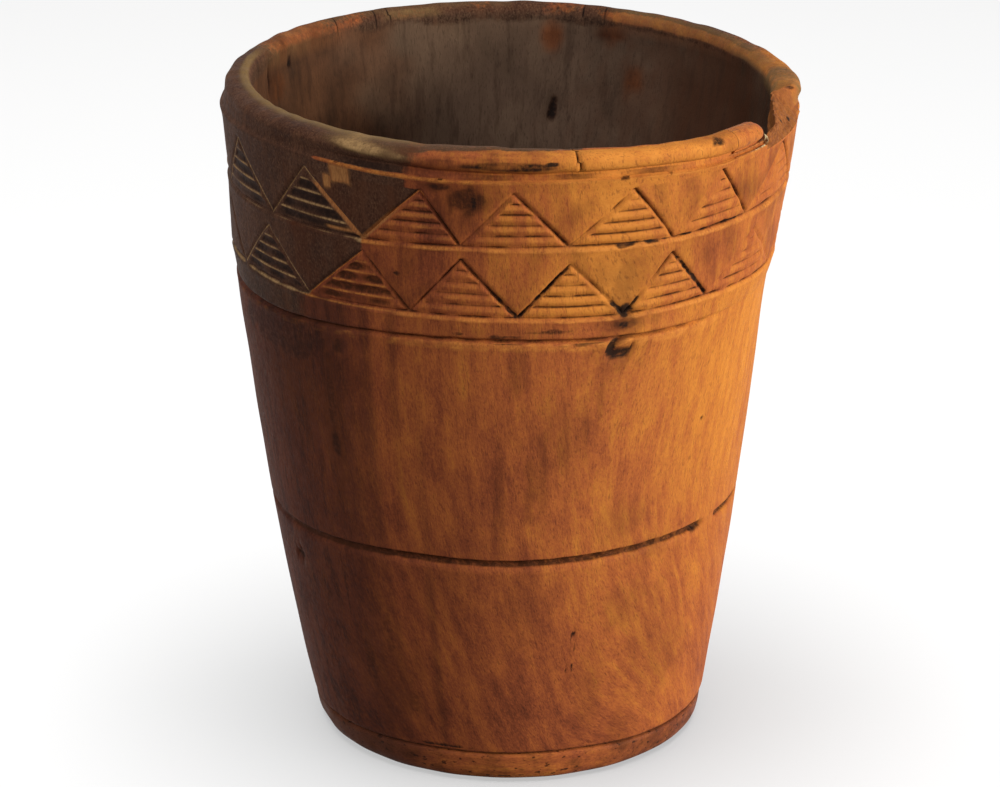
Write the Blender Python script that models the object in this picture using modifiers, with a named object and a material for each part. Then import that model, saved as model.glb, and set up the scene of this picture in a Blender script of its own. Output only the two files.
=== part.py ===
"""Hand-carved wooden beaker: a tapered hollow wall with a rolled rim and a carved band,
closed below by a plugged base, with one mended place on the rim.

Metres, +Z up. The origin is the centre of the flat that the beaker stands on, and the
mended place lies on the +X side of the front, which faces -Y.
"""

import math

import bmesh
import bpy
from mathutils import Matrix, Vector

# Overall size
HEIGHT = 0.1705
RIM_RADIUS = 0.0730

# Outside of the body
FOOT_RADIUS = 0.0472
FOOT_EDGE = 0.0026
FOOT_HEIGHT = 0.0072
SEAM_RADIUS = 0.0507
SHOULDER_RADIUS = 0.0666
BODY_SWELL = 0.0011

# Inside of the body
LIP_THICKNESS = 0.0067
FOOT_WALL = 0.0085
FLOOR_HEIGHT = 0.0155
SHOULDER_WALL = 0.0059

# Rolled rim
ROLL_RADIUS = 0.0031
ROLL_UNDERCUT_DEG = 70.0
RIM_DEPTH = 0.0083
ROLL_STAND_OUT = 0.0015

# Scored line round the middle of the body
MID_LINE_HEIGHT = 0.0634
MID_LINE_WIDTH = 0.0013
MID_LINE_DEPTH = 0.0008

# Carved band of triangles
BAND_DEPTH = 0.0394
BAND_STAND_OUT = 0.0009
BAND_EDGE_GROOVE = 0.0014
ROWS = 2
ROW_SPACING = 0.0179
ROW_TOP_MARGIN = 0.0016
TRIANGLE_HEIGHT = 0.0136
TRIANGLES_PER_ROW = 16
FIRST_TRIANGLE_DEG = 1.65
HATCH_LINES = 4
GROOVE_WIDTH = 0.0015
GROOVE_DEPTH = 0.0008
SECOND_STROKE = 0.00012
HATCH_WIDTH = 0.0012
HATCH_DEPTH = 0.0007
HATCH_INSET = 0.0008
HATCH_CLEARANCE = 0.0003

# Mended place on the rim, in degrees from the front towards +X
MEND_START_DEG = 48.0
MEND_END_DEG = 57.5
BREAK_END_DEG = 83.0
MEND_HEIGHT = 0.0062
BREAK_RISE = 0.0042
MEND_ROUNDING = 0.0016
GLUE_RADIUS = 0.0014

# Sealing pitch in the corner of the floor
PITCH_WIDTH = 0.0040
PITCH_LIP = 0.0003

# Fit between touching pieces, and how far cutters reach past what they cut
JOINT_GAP = 0.0003
CUTTER_REACH = 0.0030

TURNING_STEPS = 64
ARC_POINTS = 6
FOOT_POINTS = 4
BODY_POINTS = 4

# Places that follow from the sizes above
SEAM_HEIGHT = FOOT_HEIGHT + JOINT_GAP
BORE_RADIUS = SEAM_RADIUS - FOOT_WALL
LIP_RADIUS = RIM_RADIUS - LIP_THICKNESS
LIP_ROUNDING = LIP_THICKNESS - ROLL_RADIUS
LIP_HEIGHT = HEIGHT - LIP_ROUNDING
LIP_MIDDLE = RIM_RADIUS - LIP_THICKNESS / 2.0
BAND_TOP = HEIGHT - RIM_DEPTH
BAND_BOTTOM = BAND_TOP - BAND_DEPTH
BAND_TOP_RADIUS = RIM_RADIUS - ROLL_STAND_OUT
BAND_LOW_RADIUS = SHOULDER_RADIUS + BAND_STAND_OUT
BODY_TOP = BAND_BOTTOM - BAND_EDGE_GROOVE
HALF_PITCH = math.pi / TRIANGLES_PER_ROW
MEND_FLOOR = HEIGHT - MEND_HEIGHT


def clear_scene():
    """Remove whatever the open file already holds."""
    for item in list(bpy.data.objects):
        bpy.data.objects.remove(item, do_unlink=True)


def make_collection(name):
    """A new collection linked to the scene."""
    group = bpy.data.collections.new(name)
    bpy.context.scene.collection.children.link(group)
    return group


def make_material(name, colour, roughness):
    """A plain Principled material."""
    material = bpy.data.materials.new(name)
    material.use_nodes = True
    shader = material.node_tree.nodes["Principled BSDF"]
    shader.inputs["Base Color"].default_value = (*colour, 1.0)
    shader.inputs["Roughness"].default_value = roughness
    shader.inputs["Metallic"].default_value = 0.0
    return material


def add_object(name, mesh, group):
    """An object of this mesh in a collection."""
    item = bpy.data.objects.new(name, mesh)
    group.objects.link(item)
    return item


def as_cutter(item):
    """Mark an object as a tool that only shapes other objects."""
    item.hide_render = True
    item.display_type = "WIRE"
    return item


def turned(name, loops, group, closed=True):
    """Turn one or more (radius, height) outlines once round the Z axis."""
    mesh = bpy.data.meshes.new(name)
    points = []
    edges = []
    for loop in loops:
        first = len(points)
        points += [(radius, 0.0, height) for radius, height in loop]
        edges += [(first + i, first + i + 1) for i in range(len(loop) - 1)]
        if closed:
            edges.append((len(points) - 1, first))
    mesh.from_pydata(points, edges, [])
    item = add_object(name, mesh, group)
    screw = item.modifiers.new("turn", "SCREW")
    screw.axis = "Z"
    screw.steps = TURNING_STEPS
    screw.render_steps = TURNING_STEPS
    screw.use_merge_vertices = True
    screw.merge_threshold = 0.00001
    screw.use_smooth_shade = True
    return item


def cut(item, cutter, operation="DIFFERENCE"):
    """Shape one object with another."""
    step = item.modifiers.new(cutter.name, "BOOLEAN")
    step.operation = operation
    step.solver = "EXACT"
    step.object = cutter


def settle(item, sharp_deg=32.0):
    """Keep the evaluated shape, shaded smooth between its sharp edges."""
    shape = item.evaluated_get(bpy.context.evaluated_depsgraph_get())
    mesh = bpy.data.meshes.new_from_object(shape)
    item.modifiers.clear()
    item.data = mesh
    mesh.name = item.name
    mesh.shade_smooth()
    mesh.set_sharp_from_angle(angle=math.radians(sharp_deg))


def arc(centre, radius, start_deg, end_deg, count=ARC_POINTS):
    """Points of an arc in the (radius, height) plane, ends included."""
    points = []
    for i in range(count):
        angle = math.radians(start_deg + (end_deg - start_deg) * i / (count - 1))
        points.append((centre[0] + radius * math.cos(angle), centre[1] + radius * math.sin(angle)))
    return points


def swelled(low, high, swell, height):
    """Radius at a height on the swelled line between two (radius, height) points."""
    share = (height - low[1]) / (high[1] - low[1])
    return low[0] + (high[0] - low[0]) * share + 4.0 * swell * share * (1.0 - share)


def body_radius(height):
    """Outer radius of the plain body below the band."""
    return swelled((SEAM_RADIUS, SEAM_HEIGHT), (SHOULDER_RADIUS, BODY_TOP), BODY_SWELL, height)


def inner_radius(height):
    """Radius of the hollow above the floor, which follows the outside up to the shoulder."""
    if height > BODY_TOP:
        shoulder = (SHOULDER_RADIUS - SHOULDER_WALL, BODY_TOP)
        return swelled(shoulder, (LIP_RADIUS, LIP_HEIGHT), 0.0, height)
    low_wall = (body_radius(FLOOR_HEIGHT) - BORE_RADIUS, FLOOR_HEIGHT)
    wall = swelled(low_wall, (SHOULDER_WALL, BODY_TOP), 0.0, height)
    return body_radius(height) - wall


def band_radius(height):
    """Outer radius of the uncarved band."""
    return swelled((BAND_LOW_RADIUS, BAND_BOTTOM), (BAND_TOP_RADIUS, BAND_TOP), 0.0, height)


def spaced(start, end, count):
    """Evenly spaced heights from start to end, ends included."""
    return [start + (end - start) * i / (count - 1) for i in range(count)]


def row_bases():
    """Heights of the lines that the rows of triangles stand on, upper row first."""
    first = BAND_TOP - ROW_TOP_MARGIN - TRIANGLE_HEIGHT
    return [first - ROW_SPACING * row for row in range(ROWS)]


def from_front(angle, radius, height):
    """A point at an angle in radians from the front, counted towards +X."""
    return Vector((radius * math.sin(angle), -radius * math.cos(angle), height))


def rim_outline():
    """The rolled rim from the top of the lip down to the hollow under the roll."""
    centre = (RIM_RADIUS - ROLL_RADIUS, HEIGHT - ROLL_RADIUS)
    return arc(centre, ROLL_RADIUS, 90.0, -ROLL_UNDERCUT_DEG)


def band_outline():
    """The raised band from its top edge down, with the base line of each row cut in."""
    half = GROOVE_WIDTH / 2.0
    points = [(band_radius(BAND_TOP), BAND_TOP)]
    for base in row_bases():
        points.append((band_radius(base + half), base + half))
        points.append((band_radius(base) - GROOVE_DEPTH, base))
        points.append((band_radius(base - half), base - half))
    points.append((band_radius(BAND_BOTTOM), BAND_BOTTOM))
    return points


def body_outline():
    """The plain body from the groove under the band down to the seam."""
    above = MID_LINE_HEIGHT + MID_LINE_WIDTH / 2.0
    below = MID_LINE_HEIGHT - MID_LINE_WIDTH / 2.0
    groove = BODY_TOP + BAND_EDGE_GROOVE / 2.0
    points = [(SHOULDER_RADIUS - GROOVE_DEPTH, groove)]
    points += [(body_radius(height), height) for height in spaced(BODY_TOP, above, BODY_POINTS)]
    points += [(body_radius(height) - MID_LINE_DEPTH, height) for height in (above, below)]
    points += [(body_radius(height), height) for height in spaced(below, SEAM_HEIGHT, BODY_POINTS)]
    return points


def hollow_outline():
    """The bore for the base and the hollow above it, from the bottom up to the lip."""
    points = [(BORE_RADIUS, SEAM_HEIGHT)]
    heights = spaced(FLOOR_HEIGHT, BODY_TOP, BODY_POINTS + 1)
    points += [(inner_radius(height), height) for height in heights]
    centre = (LIP_RADIUS + LIP_ROUNDING, LIP_HEIGHT)
    return points + arc(centre, LIP_ROUNDING, 180.0, 90.0)[:-1]


def wall_outline():
    """Closed outline of the wall, down its outside and up its inside."""
    return rim_outline() + band_outline() + body_outline() + hollow_outline()


def triangle_angles(row):
    """Angles of the apexes of one row, in radians from the front. Rows alternate."""
    start = math.radians(FIRST_TRIANGLE_DEG) + HALF_PITCH * row
    return [start + 2.0 * HALF_PITCH * i for i in range(TRIANGLES_PER_ROW)]


def wedge(shape, origin, along, outward, length, half_width, low, high):
    """Add a three-sided bar to a mesh, with its edge turned inwards.

    The edge lies low from the origin against the outward direction, and the flat back lies
    high from it, where the bar is 2 * half_width wide.
    """
    axis = along.normalized()
    inward = -(outward - axis * outward.dot(axis)).normalized()
    side = inward.cross(axis)
    depth_scale = (low + high) / 1.5
    width_scale = half_width / math.cos(math.radians(30.0))
    frame = Matrix.Identity(4)
    for row in range(3):
        frame[row][0] = side[row] * width_scale
        frame[row][1] = inward[row] * depth_scale
        frame[row][2] = axis[row] * length
        frame[row][3] = origin[row] + inward[row] * (low - depth_scale)
    bmesh.ops.create_cone(shape, cap_ends=True, segments=3, radius1=1.0, radius2=1.0,
                          depth=1.0, matrix=frame)


def cutter_from(shape, name, group):
    """Turn a working mesh into a cutter with its faces pointing out."""
    bmesh.ops.recalc_face_normals(shape, faces=shape.faces)
    mesh = bpy.data.meshes.new(name)
    shape.to_mesh(mesh)
    shape.free()
    return as_cutter(add_object(name, mesh, group))


def side_cuts(name, lean, depth, group):
    """V-cuts along one side of every triangle; lean is -1 for left sides, 1 for right."""
    shape = bmesh.new()
    back_half = GROOVE_WIDTH / 2.0 * (depth + CUTTER_REACH) / depth
    for row, base in enumerate(row_bases()):
        apex = base + TRIANGLE_HEIGHT
        for angle in triangle_angles(row):
            top = from_front(angle, band_radius(apex), apex)
            foot = from_front(angle + lean * HALF_PITCH, band_radius(base), base)
            outward = from_front(angle + lean * HALF_PITCH / 2.0, 1.0, 0.0)
            along = foot - top
            wedge(shape, (top + foot) / 2.0, along, outward, along.length + GROOVE_WIDTH,
                  back_half, depth, CUTTER_REACH)
    return cutter_from(shape, name, group)


def hatch_cuts(group):
    """Level V-cuts that fill each triangle: rings clipped to the triangles' insides."""
    step = TRIANGLE_HEIGHT / (HATCH_LINES + 1)
    back_half = HATCH_WIDTH / 2.0 * (HATCH_DEPTH + HATCH_CLEARANCE) / HATCH_DEPTH
    loops = []
    for base in row_bases():
        for line in range(1, HATCH_LINES + 1):
            height = base + step * line
            radius = band_radius(height)
            loops.append([(radius + HATCH_CLEARANCE, height + back_half),
                          (radius + HATCH_CLEARANCE, height - back_half),
                          (radius - HATCH_DEPTH, height)])
    rings = as_cutter(turned("hatch_rings", loops, group))
    fields = triangle_fields(group)
    cut(rings, fields, "INTERSECT")
    return rings


def triangle_fields(group):
    """A three-sided block through the wall inside each triangle, apex up."""
    shape = bmesh.new()
    up = Vector((0.0, 0.0, 1.0))
    for row, base in enumerate(row_bases()):
        half_base = band_radius(base) * math.tan(HALF_PITCH) - 2.0 * HATCH_INSET
        apex = TRIANGLE_HEIGHT * half_base / (band_radius(base) * math.tan(HALF_PITCH))
        for angle in triangle_angles(row):
            radial = from_front(angle, 1.0, 0.0)
            origin = from_front(angle, band_radius(base), base + HATCH_INSET)
            wedge(shape, origin, radial, -up, 4.0 * CUTTER_REACH, half_base, apex, 0.0)
    return cutter_from(shape, "triangle_fields", group)


def degrees_along_rim(length):
    """The angle that a length takes up along the middle of the lip."""
    return math.degrees(length / LIP_MIDDLE)


def rim_block(name, start_deg, end_deg, floor, top, group):
    """A block across the rim between two angles, from floor to top."""
    middle = math.radians((start_deg + end_deg) / 2.0)
    width = 2.0 * LIP_MIDDLE * math.tan(math.radians(end_deg - start_deg) / 2.0)
    shape = bmesh.new()
    bmesh.ops.create_cube(shape, size=1.0)
    depth = LIP_THICKNESS + 4.0 * CUTTER_REACH
    bmesh.ops.scale(shape, vec=(width, depth, top - floor), verts=shape.verts)
    block = cutter_from(shape, name, group)
    block.location = from_front(middle, LIP_MIDDLE, (floor + top) / 2.0)
    block.rotation_euler = (0.0, 0.0, middle)
    return block


def break_cut(group):
    """The part of the roll that is lost: deep beside the mend and shallow at its far end."""
    above = HEIGHT + CUTTER_REACH
    block = rim_block("rim_break", MEND_END_DEG, BREAK_END_DEG, MEND_FLOOR, above, group)
    for corner in block.data.vertices:
        if corner.co.z < 0.0 and corner.co.x > 0.0:
            corner.co.z += BREAK_RISE
    return block


def build_wall(parts, tools, material):
    """The carved wall, with the seat of the mended piece and the break cut out of its rim."""
    wall = turned("beaker_wall", [wall_outline()], parts)
    above = HEIGHT + CUTTER_REACH
    seat_end = MEND_END_DEG + degrees_along_rim(2.0 * (GLUE_RADIUS + JOINT_GAP))
    cut(wall, rim_block("mend_seat", MEND_START_DEG, seat_end, MEND_FLOOR, above, tools))
    cut(wall, break_cut(tools))
    cut(wall, side_cuts("left_sides", -1.0, GROOVE_DEPTH, tools))
    cut(wall, side_cuts("right_sides", 1.0, GROOVE_DEPTH + SECOND_STROKE, tools))
    cut(wall, hatch_cuts(tools))
    wall.data.materials.append(material)
    return wall


def build_fragment(parts, tools, material):
    """The broken-off piece of the roll that is glued back on its seat."""
    fragment = turned("rim_fragment", [wall_outline()], parts)
    start = MEND_START_DEG + degrees_along_rim(2.0 * JOINT_GAP)
    block = rim_block("fragment_block", start, MEND_END_DEG, MEND_FLOOR + JOINT_GAP,
                      HEIGHT + JOINT_GAP, tools)
    rounding = block.modifiers.new("worn_end", "BEVEL")
    rounding.limit_method = "WEIGHT"
    rounding.width = MEND_ROUNDING
    rounding.segments = 3
    weights = block.data.attributes.new("bevel_weight_edge", "FLOAT", "EDGE")
    for edge in block.data.edges:
        ends = [block.data.vertices[i].co for i in edge.vertices]
        if all(end.x > 0.0 and end.z > 0.0 for end in ends):
            weights.data[edge.index].value = 1.0
    cut(fragment, block, "INTERSECT")
    fragment.data.materials.append(material)
    return fragment


def build_base(parts, material):
    """The base: a foot flange under the wall and a plug that fills the bore."""
    spigot = BORE_RADIUS - JOINT_GAP
    outline = [(0.0, FLOOR_HEIGHT), (spigot, FLOOR_HEIGHT), (spigot, FOOT_HEIGHT),
               (SEAM_RADIUS, FOOT_HEIGHT)]
    outline += arc((FOOT_RADIUS, FOOT_EDGE), FOOT_EDGE, 0.0, -90.0, FOOT_POINTS)
    outline.append((0.0, 0.0))
    base = turned("base_plug", [outline], parts, closed=False)
    base.data.materials.append(material)
    return base


def build_pitch(parts, material):
    """A bead of pitch that seals the corner between the base and the wall."""
    floor = FLOOR_HEIGHT + JOINT_GAP
    top = floor + PITCH_WIDTH
    outer_low = inner_radius(floor) - JOINT_GAP
    outer_high = inner_radius(top) - JOINT_GAP
    hollow = (outer_high - PITCH_WIDTH, top)
    outline = [(outer_high, top), (outer_low, floor), (hollow[0], floor)]
    outline += arc(hollow, PITCH_WIDTH - PITCH_LIP, -90.0, 0.0, FOOT_POINTS)
    pitch = turned("seam_pitch", [outline], parts)
    pitch.data.materials.append(material)
    return pitch


def build_glue(parts, material):
    """A bead of set glue in the corner between the mended piece and the break."""
    angle = math.radians(MEND_END_DEG + degrees_along_rim(GLUE_RADIUS + JOINT_GAP))
    shape = bmesh.new()
    bmesh.ops.create_uvsphere(shape, u_segments=10, v_segments=7, radius=GLUE_RADIUS)
    stretch = (LIP_THICKNESS / 2.0 - JOINT_GAP) / GLUE_RADIUS
    bmesh.ops.scale(shape, vec=(1.0, stretch, 1.0), verts=shape.verts)
    mesh = bpy.data.meshes.new("rim_glue")
    shape.to_mesh(mesh)
    shape.free()
    glue = add_object("rim_glue", mesh, parts)
    glue.location = from_front(angle, LIP_MIDDLE, MEND_FLOOR + JOINT_GAP + GLUE_RADIUS)
    glue.rotation_euler = (0.0, 0.0, angle)
    glue.data.materials.append(material)
    return glue


def main():
    """Build every piece of the beaker."""
    clear_scene()
    parts = make_collection("wooden_beaker")
    tools = make_collection("beaker_cutters")
    wood = make_material("carved_wood", (0.34, 0.105, 0.030), 0.48)
    base_wood = make_material("base_wood", (0.27, 0.080, 0.026), 0.52)
    rim_wood = make_material("mended_wood", (0.40, 0.135, 0.040), 0.46)
    pitch = make_material("dark_pitch", (0.020, 0.014, 0.011), 0.60)
    glue = make_material("set_glue", (0.52, 0.38, 0.20), 0.42)

    pieces = [
        build_wall(parts, tools, wood),
        build_base(parts, base_wood),
        build_pitch(parts, pitch),
        build_fragment(parts, tools, rim_wood),
        build_glue(parts, glue),
    ]
    anchor = bpy.data.objects.new("beaker_anchor", None)
    parts.objects.link(anchor)
    for piece in pieces:
        settle(piece)
        piece.parent = anchor


main()
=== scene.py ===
# %% [markdown]
# # A hand-carved wooden beaker
# The beaker is a tapered wooden vessel with a rolled rim, a raised band of hatched triangles,
# a scored line round its middle and a plugged base. The packed model already fixes every size,
# so this lesson loads it first and then builds a finer surface in exactly the same place.

# %% Load the packed beaker
import math

import bpy
import numpy as np
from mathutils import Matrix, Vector


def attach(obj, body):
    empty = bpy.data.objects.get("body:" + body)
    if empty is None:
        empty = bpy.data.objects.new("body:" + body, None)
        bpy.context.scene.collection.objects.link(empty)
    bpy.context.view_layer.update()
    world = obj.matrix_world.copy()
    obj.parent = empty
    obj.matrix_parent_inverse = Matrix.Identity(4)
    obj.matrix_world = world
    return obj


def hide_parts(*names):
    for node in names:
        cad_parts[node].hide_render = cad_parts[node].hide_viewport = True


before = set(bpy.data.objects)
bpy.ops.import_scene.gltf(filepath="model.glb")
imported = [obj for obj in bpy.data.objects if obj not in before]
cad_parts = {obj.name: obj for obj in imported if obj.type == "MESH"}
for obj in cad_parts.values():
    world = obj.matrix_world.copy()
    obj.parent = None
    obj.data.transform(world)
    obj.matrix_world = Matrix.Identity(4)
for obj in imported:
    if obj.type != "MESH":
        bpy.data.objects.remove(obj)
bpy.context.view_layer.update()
print("nodes:", sorted(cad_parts))

# %% [markdown]
# ## The view
# The picture was taken from in front and a little above, with a long lens. A camera can be
# placed by eye, but the rim and the foot are circles, so the shapes of their ellipses give the
# distance and the angle. The numbers below come from such a fit.

# %% Camera
PICTURE_WIDTH = 1000
SENSOR_MM = 36.0
FOCAL_PIXELS = 3912.0
VIEW_DISTANCE = 1.000
LOOK_DOWN = math.radians(20.18)
LOOK_AT = Vector((-0.00265, 0.0, 0.0858))

camera_data = bpy.data.cameras.new("camera")
camera_data.sensor_width = SENSOR_MM
camera_data.lens = FOCAL_PIXELS * SENSOR_MM / PICTURE_WIDTH
camera = bpy.data.objects.new("camera", camera_data)
bpy.context.scene.collection.objects.link(camera)
backwards = Vector((0.0, -math.cos(LOOK_DOWN), math.sin(LOOK_DOWN)))
camera.location = LOOK_AT + backwards * VIEW_DISTANCE
camera.rotation_euler = backwards.to_track_quat("Z", "Y").to_euler()
bpy.context.scene.camera = camera
print("camera", [round(v, 3) for v in camera.location], "lens", round(camera_data.lens, 1))

# %% [markdown]
# ## Small helpers
# Every shape below is thought out in millimetres and in angles round the axis, where 0 degrees
# is the front and +90 degrees the right-hand side. Points become metres only when a mesh is
# made. Hand work is never quite even, so two helpers give smooth curves through a few measured
# points and seeded unevenness that closes on itself round the beaker.

# %% Curves and unevenness
MM = 0.001
FULL_TURN = 6.283
WAVE_SCALE = 0.6


def flowing(x, places, values):
    """A smooth curve through a few measured points."""
    places = np.asarray(places, float)
    values = np.asarray(values, float)
    slope = np.gradient(values, places)
    k = np.clip(np.searchsorted(places, x) - 1, 0, len(places) - 2)
    gap = places[k + 1] - places[k]
    t = np.clip((x - places[k]) / gap, 0, 1)
    rise = (3 - 2 * t) * t * t
    bend = (t ** 3 - 2 * t ** 2 + t) * slope[k] + (t ** 3 - t ** 2) * slope[k + 1]
    return values[k] * (1 - rise) + values[k + 1] * rise + gap * bend


def straight(x, *pairs):
    """Straight lines through a few (place, value) pairs."""
    places, values = zip(*pairs)
    return np.interp(x, places, values)


def turned_back(angle):
    """The same angle, between -180 and 180 degrees."""
    return (np.asarray(angle) + 180) % 360 - 180


def round_the_rim(angle, table):
    """A smooth closed curve through (angle, value) pairs that go once round."""
    places = [p for p, _ in table]
    values = [v for _, v in table]
    places = [p - 360 for p in places] + places + [p + 360 for p in places]
    return flowing(turned_back(angle), places, values * 3)


def ease(low, high, x):
    """0 below low, 1 above high, smooth between."""
    t = np.clip((x - low) / (high - low), 0, 1)
    return t * t * (3 - 2 * t)


def span(x, start, full, fading, end):
    """0 before start, 1 from full to fading and 0 after end, smooth between."""
    return ease(start, full, x) * (1 - ease(fading, end, x))


def unevenness(seed, angle, height, around, up, waves=28):
    """Seeded smooth unevenness of about -1 to 1 that closes on itself round the beaker."""
    draw = np.random.default_rng(seed)
    total = 0.0
    for _ in range(waves):
        turns = draw.integers(-around, around + 1)
        climb = draw.normal(0, up)
        total = total + np.sin(np.radians(angle) * turns + height * climb + draw.uniform(0, FULL_TURN))
    return total / math.sqrt(waves / 2) * WAVE_SCALE


def patch(angle, height, at_angle, at_height, half_angle, half_height, soft=0.5):
    """1 inside an oval patch on the wall, 0 outside it, with a soft edge."""
    across = turned_back(angle - at_angle) / half_angle
    along = (height - at_height) / half_height
    return 1 - ease(1 - soft, 1 + soft, np.hypot(across, along))


print("a curve through three points at 0.5:", round(float(flowing(0.5, [0, 1, 2], [0, 1, 0])), 3))

# %% [markdown]
# ## Setting out the frieze
# The carver set out two rows of triangles by eye: the points are close to 16 to a turn but never
# evenly spaced. Each row is described by its marks, which alternate between the points at the
# top and the corners on the base line. The front marks are measured and the back carries on
# with the same kind of unevenness.

# %% Marks of the two rows
HALF_TRIANGLES = 32
STEPS = 25
COLUMNS = HALF_TRIANGLES * STEPS
MARK_SLIP, LEVEL_SLIP = 1.1, 0.4
UPPER_MARKS = [-68.6, -54.9, -44.1, -30.2, -17.9, -9.9, 0.2, 11.3, 23.9, 33.8, 45.0, 54.7, 69.0]
UPPER_LEVELS = [161.8, 147.3, 161.9, 147.0, 161.0, 147.6, 161.1, 147.4, 160.5, 146.4, 161.1, 147.0, 160.9]
LOWER_MARKS = [-68.2, -56.8, -44.0, -30.3, -19.6, -9.6, 2.3, 12.0, 24.4, 34.2, 45.7, 59.3, 73.3]
LOWER_LEVELS = [130.1, 143.3, 129.6, 143.7, 130.0, 144.2, 129.5, 142.8, 128.5, 142.5, 128.6, 141.6, 127.6]


def carried_round(marks, levels, seed):
    """Carry front marks and levels on round the back, evenly but not exactly so."""
    draw = np.random.default_rng(seed)
    gaps = HALF_TRIANGLES - len(marks) + 1
    gap = (360 - (marks[-1] - marks[0])) / gaps
    more = marks[-1] + gap * np.arange(1, gaps) + draw.uniform(-MARK_SLIP, MARK_SLIP, gaps - 1)
    usual = [np.mean(levels[0::2]), np.mean(levels[1::2])]
    rest = [usual[(len(levels) + i) % 2] + draw.uniform(-LEVEL_SLIP, LEVEL_SLIP) for i in range(gaps - 1)]
    return np.append(marks, more), np.append(levels, rest)


def column_angles(marks):
    """The angle of every column of the wall, STEPS columns to each half triangle."""
    closed = np.append(marks, marks[0] + 360)
    return np.interp(np.arange(COLUMNS) / STEPS, np.arange(HALF_TRIANGLES + 1), closed)


def level_line(angles, marks, levels, first):
    """The line through every second mark, from the first or the second one on."""
    return np.interp(angles, marks[first::2], levels[first::2], period=360)


upper_marks, upper_levels = carried_round(UPPER_MARKS, UPPER_LEVELS, 11)
lower_marks, lower_levels = carried_round(LOWER_MARKS, LOWER_LEVELS, 12)
upper_angles = column_angles(upper_marks)
lower_angles = column_angles(lower_marks)
lower_side = turned_back(lower_angles)
upper_top = level_line(upper_angles, upper_marks, upper_levels, 0)
upper_base = level_line(upper_angles, upper_marks, upper_levels, 1)
lower_top = level_line(lower_angles, lower_marks, lower_levels, 1)
lower_base = level_line(lower_angles, lower_marks, lower_levels, 0)
print("triangles in a row:", HALF_TRIANGLES // 2, "columns:", COLUMNS)

# %% [markdown]
# ## The outline of the wall
# A turned vessel could be one outline spun round the axis. This one was shaped by hand, so each
# level of the outline is a ring of its own: the rim rises and falls by a millimetre or two, the
# lip is thicker at the left, and the body leans a little. The rings run up the inside, over the
# lip, down the outside and back under the wall, and so they close into one solid.

# %% Measured curves of the wall
SEAM_RADIUS, SHOULDER_RADIUS, BODY_SWELL = 50.7, 66.6, 1.3
BODY_LOW, BODY_HIGH = 7.5, 121.4
BAND_LOW, BAND_LOW_RADIUS, BAND_FLARE = 122.8, 67.4, 0.0985
BORE_RADIUS = 42.2
# Curves round the beaker: angle in degrees, then a height or a radius in millimetres, or a share.
RIM_TOP = [(-180, 171.1), (-150, 171.3), (-127, 171.3), (-112, 171), (-85, 171.3), (-59, 171.2),
           (-34, 171.1), (-18, 170.8), (-8, 171.2), (0, 171), (14, 170.6), (27, 169.9), (42, 169.4),
           (56, 169.1), (98, 168.8), (135, 170)]
LIP_INNER = [(-180, 66), (-112, 65.3), (-85, 64.3), (-59, 63.9), (-44, 63.9), (-25, 63.8), (-10, 64.4),
             (0, 64.9), (15, 65.5), (40, 66), (60, 65.4), (75, 64.7), (90, 64.3), (112, 64.6),
             (135, 65.5)]
LIP_CURVE = [(-180, 2.4), (-112, 2.2), (-59, 1.4), (-20, 1.6), (10, 2.2), (40, 2.8), (90, 2.4),
             (135, 2.4)]
LIP_DROP = [(-180, 3.5), (-112, 3.2), (-59, 1.9), (-20, 2.2), (10, 2.7), (40, 3), (90, 3.2), (135, 3.5)]
ROLL_OUTER = [(-180, 72.1), (-120, 71.4), (-90, 71), (-50, 71.8), (0, 72.3), (50, 72.3), (90, 72.2),
              (135, 72.2)]
COVE = [(-180, 165.6), (-100, 166.4), (-60, 167.2), (-29, 167), (-13, 166.2), (0, 165.8), (14, 165.7),
        (24, 165.4), (33, 165.1), (43, 164.3), (56, 164.6), (90, 164.4), (140, 165.2)]
LEDGE = [(-180, 163.5), (-90, 164.2), (-38, 165), (-29, 164.4), (-15, 163.8), (0, 163.9), (14, 163.7),
         (24, 163.5), (33, 162.8), (43, 162.5), (56, 163), (90, 162.8), (140, 163.2)]
BAND_FOOT = [(-180, 122.6), (-100, 122.2), (-53, 122), (-30, 123.4), (0, 123.7), (20, 122.8), (45, 122),
             (60, 121.9), (120, 122.4)]
MID_LINE = [(-180, 63.4), (-100, 62.6), (-66, 62.1), (-40, 63), (-23, 63.8), (0, 63.3), (30, 63.9),
            (50, 64.2), (64, 64.3), (120, 63.6)]
SEAM = [(-180, 7.6), (-52, 7.6), (-22, 8.3), (1, 8.3), (18, 8.3), (38, 7.6), (90, 7.5)]
BAND_SWELL = [(-180, 0.1), (-120, 0.4), (-90, 0.7), (-62, 0.4), (-30, 0), (90, 0)]
COVE_CUT = [(-180, 0.8), (-110, 0.5), (-60, 0.25), (-40, 0.4), (-24, 1), (60, 1), (84, 0.15), (100, 0.4),
            (120, 0.8)]
# How far the axis is shifted to the right at each height.
LEAN_HEIGHTS = [0, 16, 43, 70, 98, 111, 125, 138, 152, 175]
LEAN = [-0.2, -0.7, -1.25, -1.75, -1.95, -2.0, -1.5, -0.75, 0.1, 0.2]
HOLLOW_HEIGHTS = [7, 15.5, 40, 70, 100, 121.4, 145, 166]
HOLLOW_RADII = [BORE_RADIUS, BORE_RADIUS, 47.2, 52.7, 57.6, 60.7, 63.2, 65.4]


def body_radius(height):
    """Outer radius of the plain body."""
    t = (height - BODY_LOW) / (BODY_HIGH - BODY_LOW)
    return SEAM_RADIUS + (SHOULDER_RADIUS - SEAM_RADIUS) * t + 4 * BODY_SWELL * t * (1 - t)


def band_radius(height):
    """Outer radius of the raised band before it is carved."""
    return BAND_LOW_RADIUS + BAND_FLARE * (height - BAND_LOW)


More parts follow.
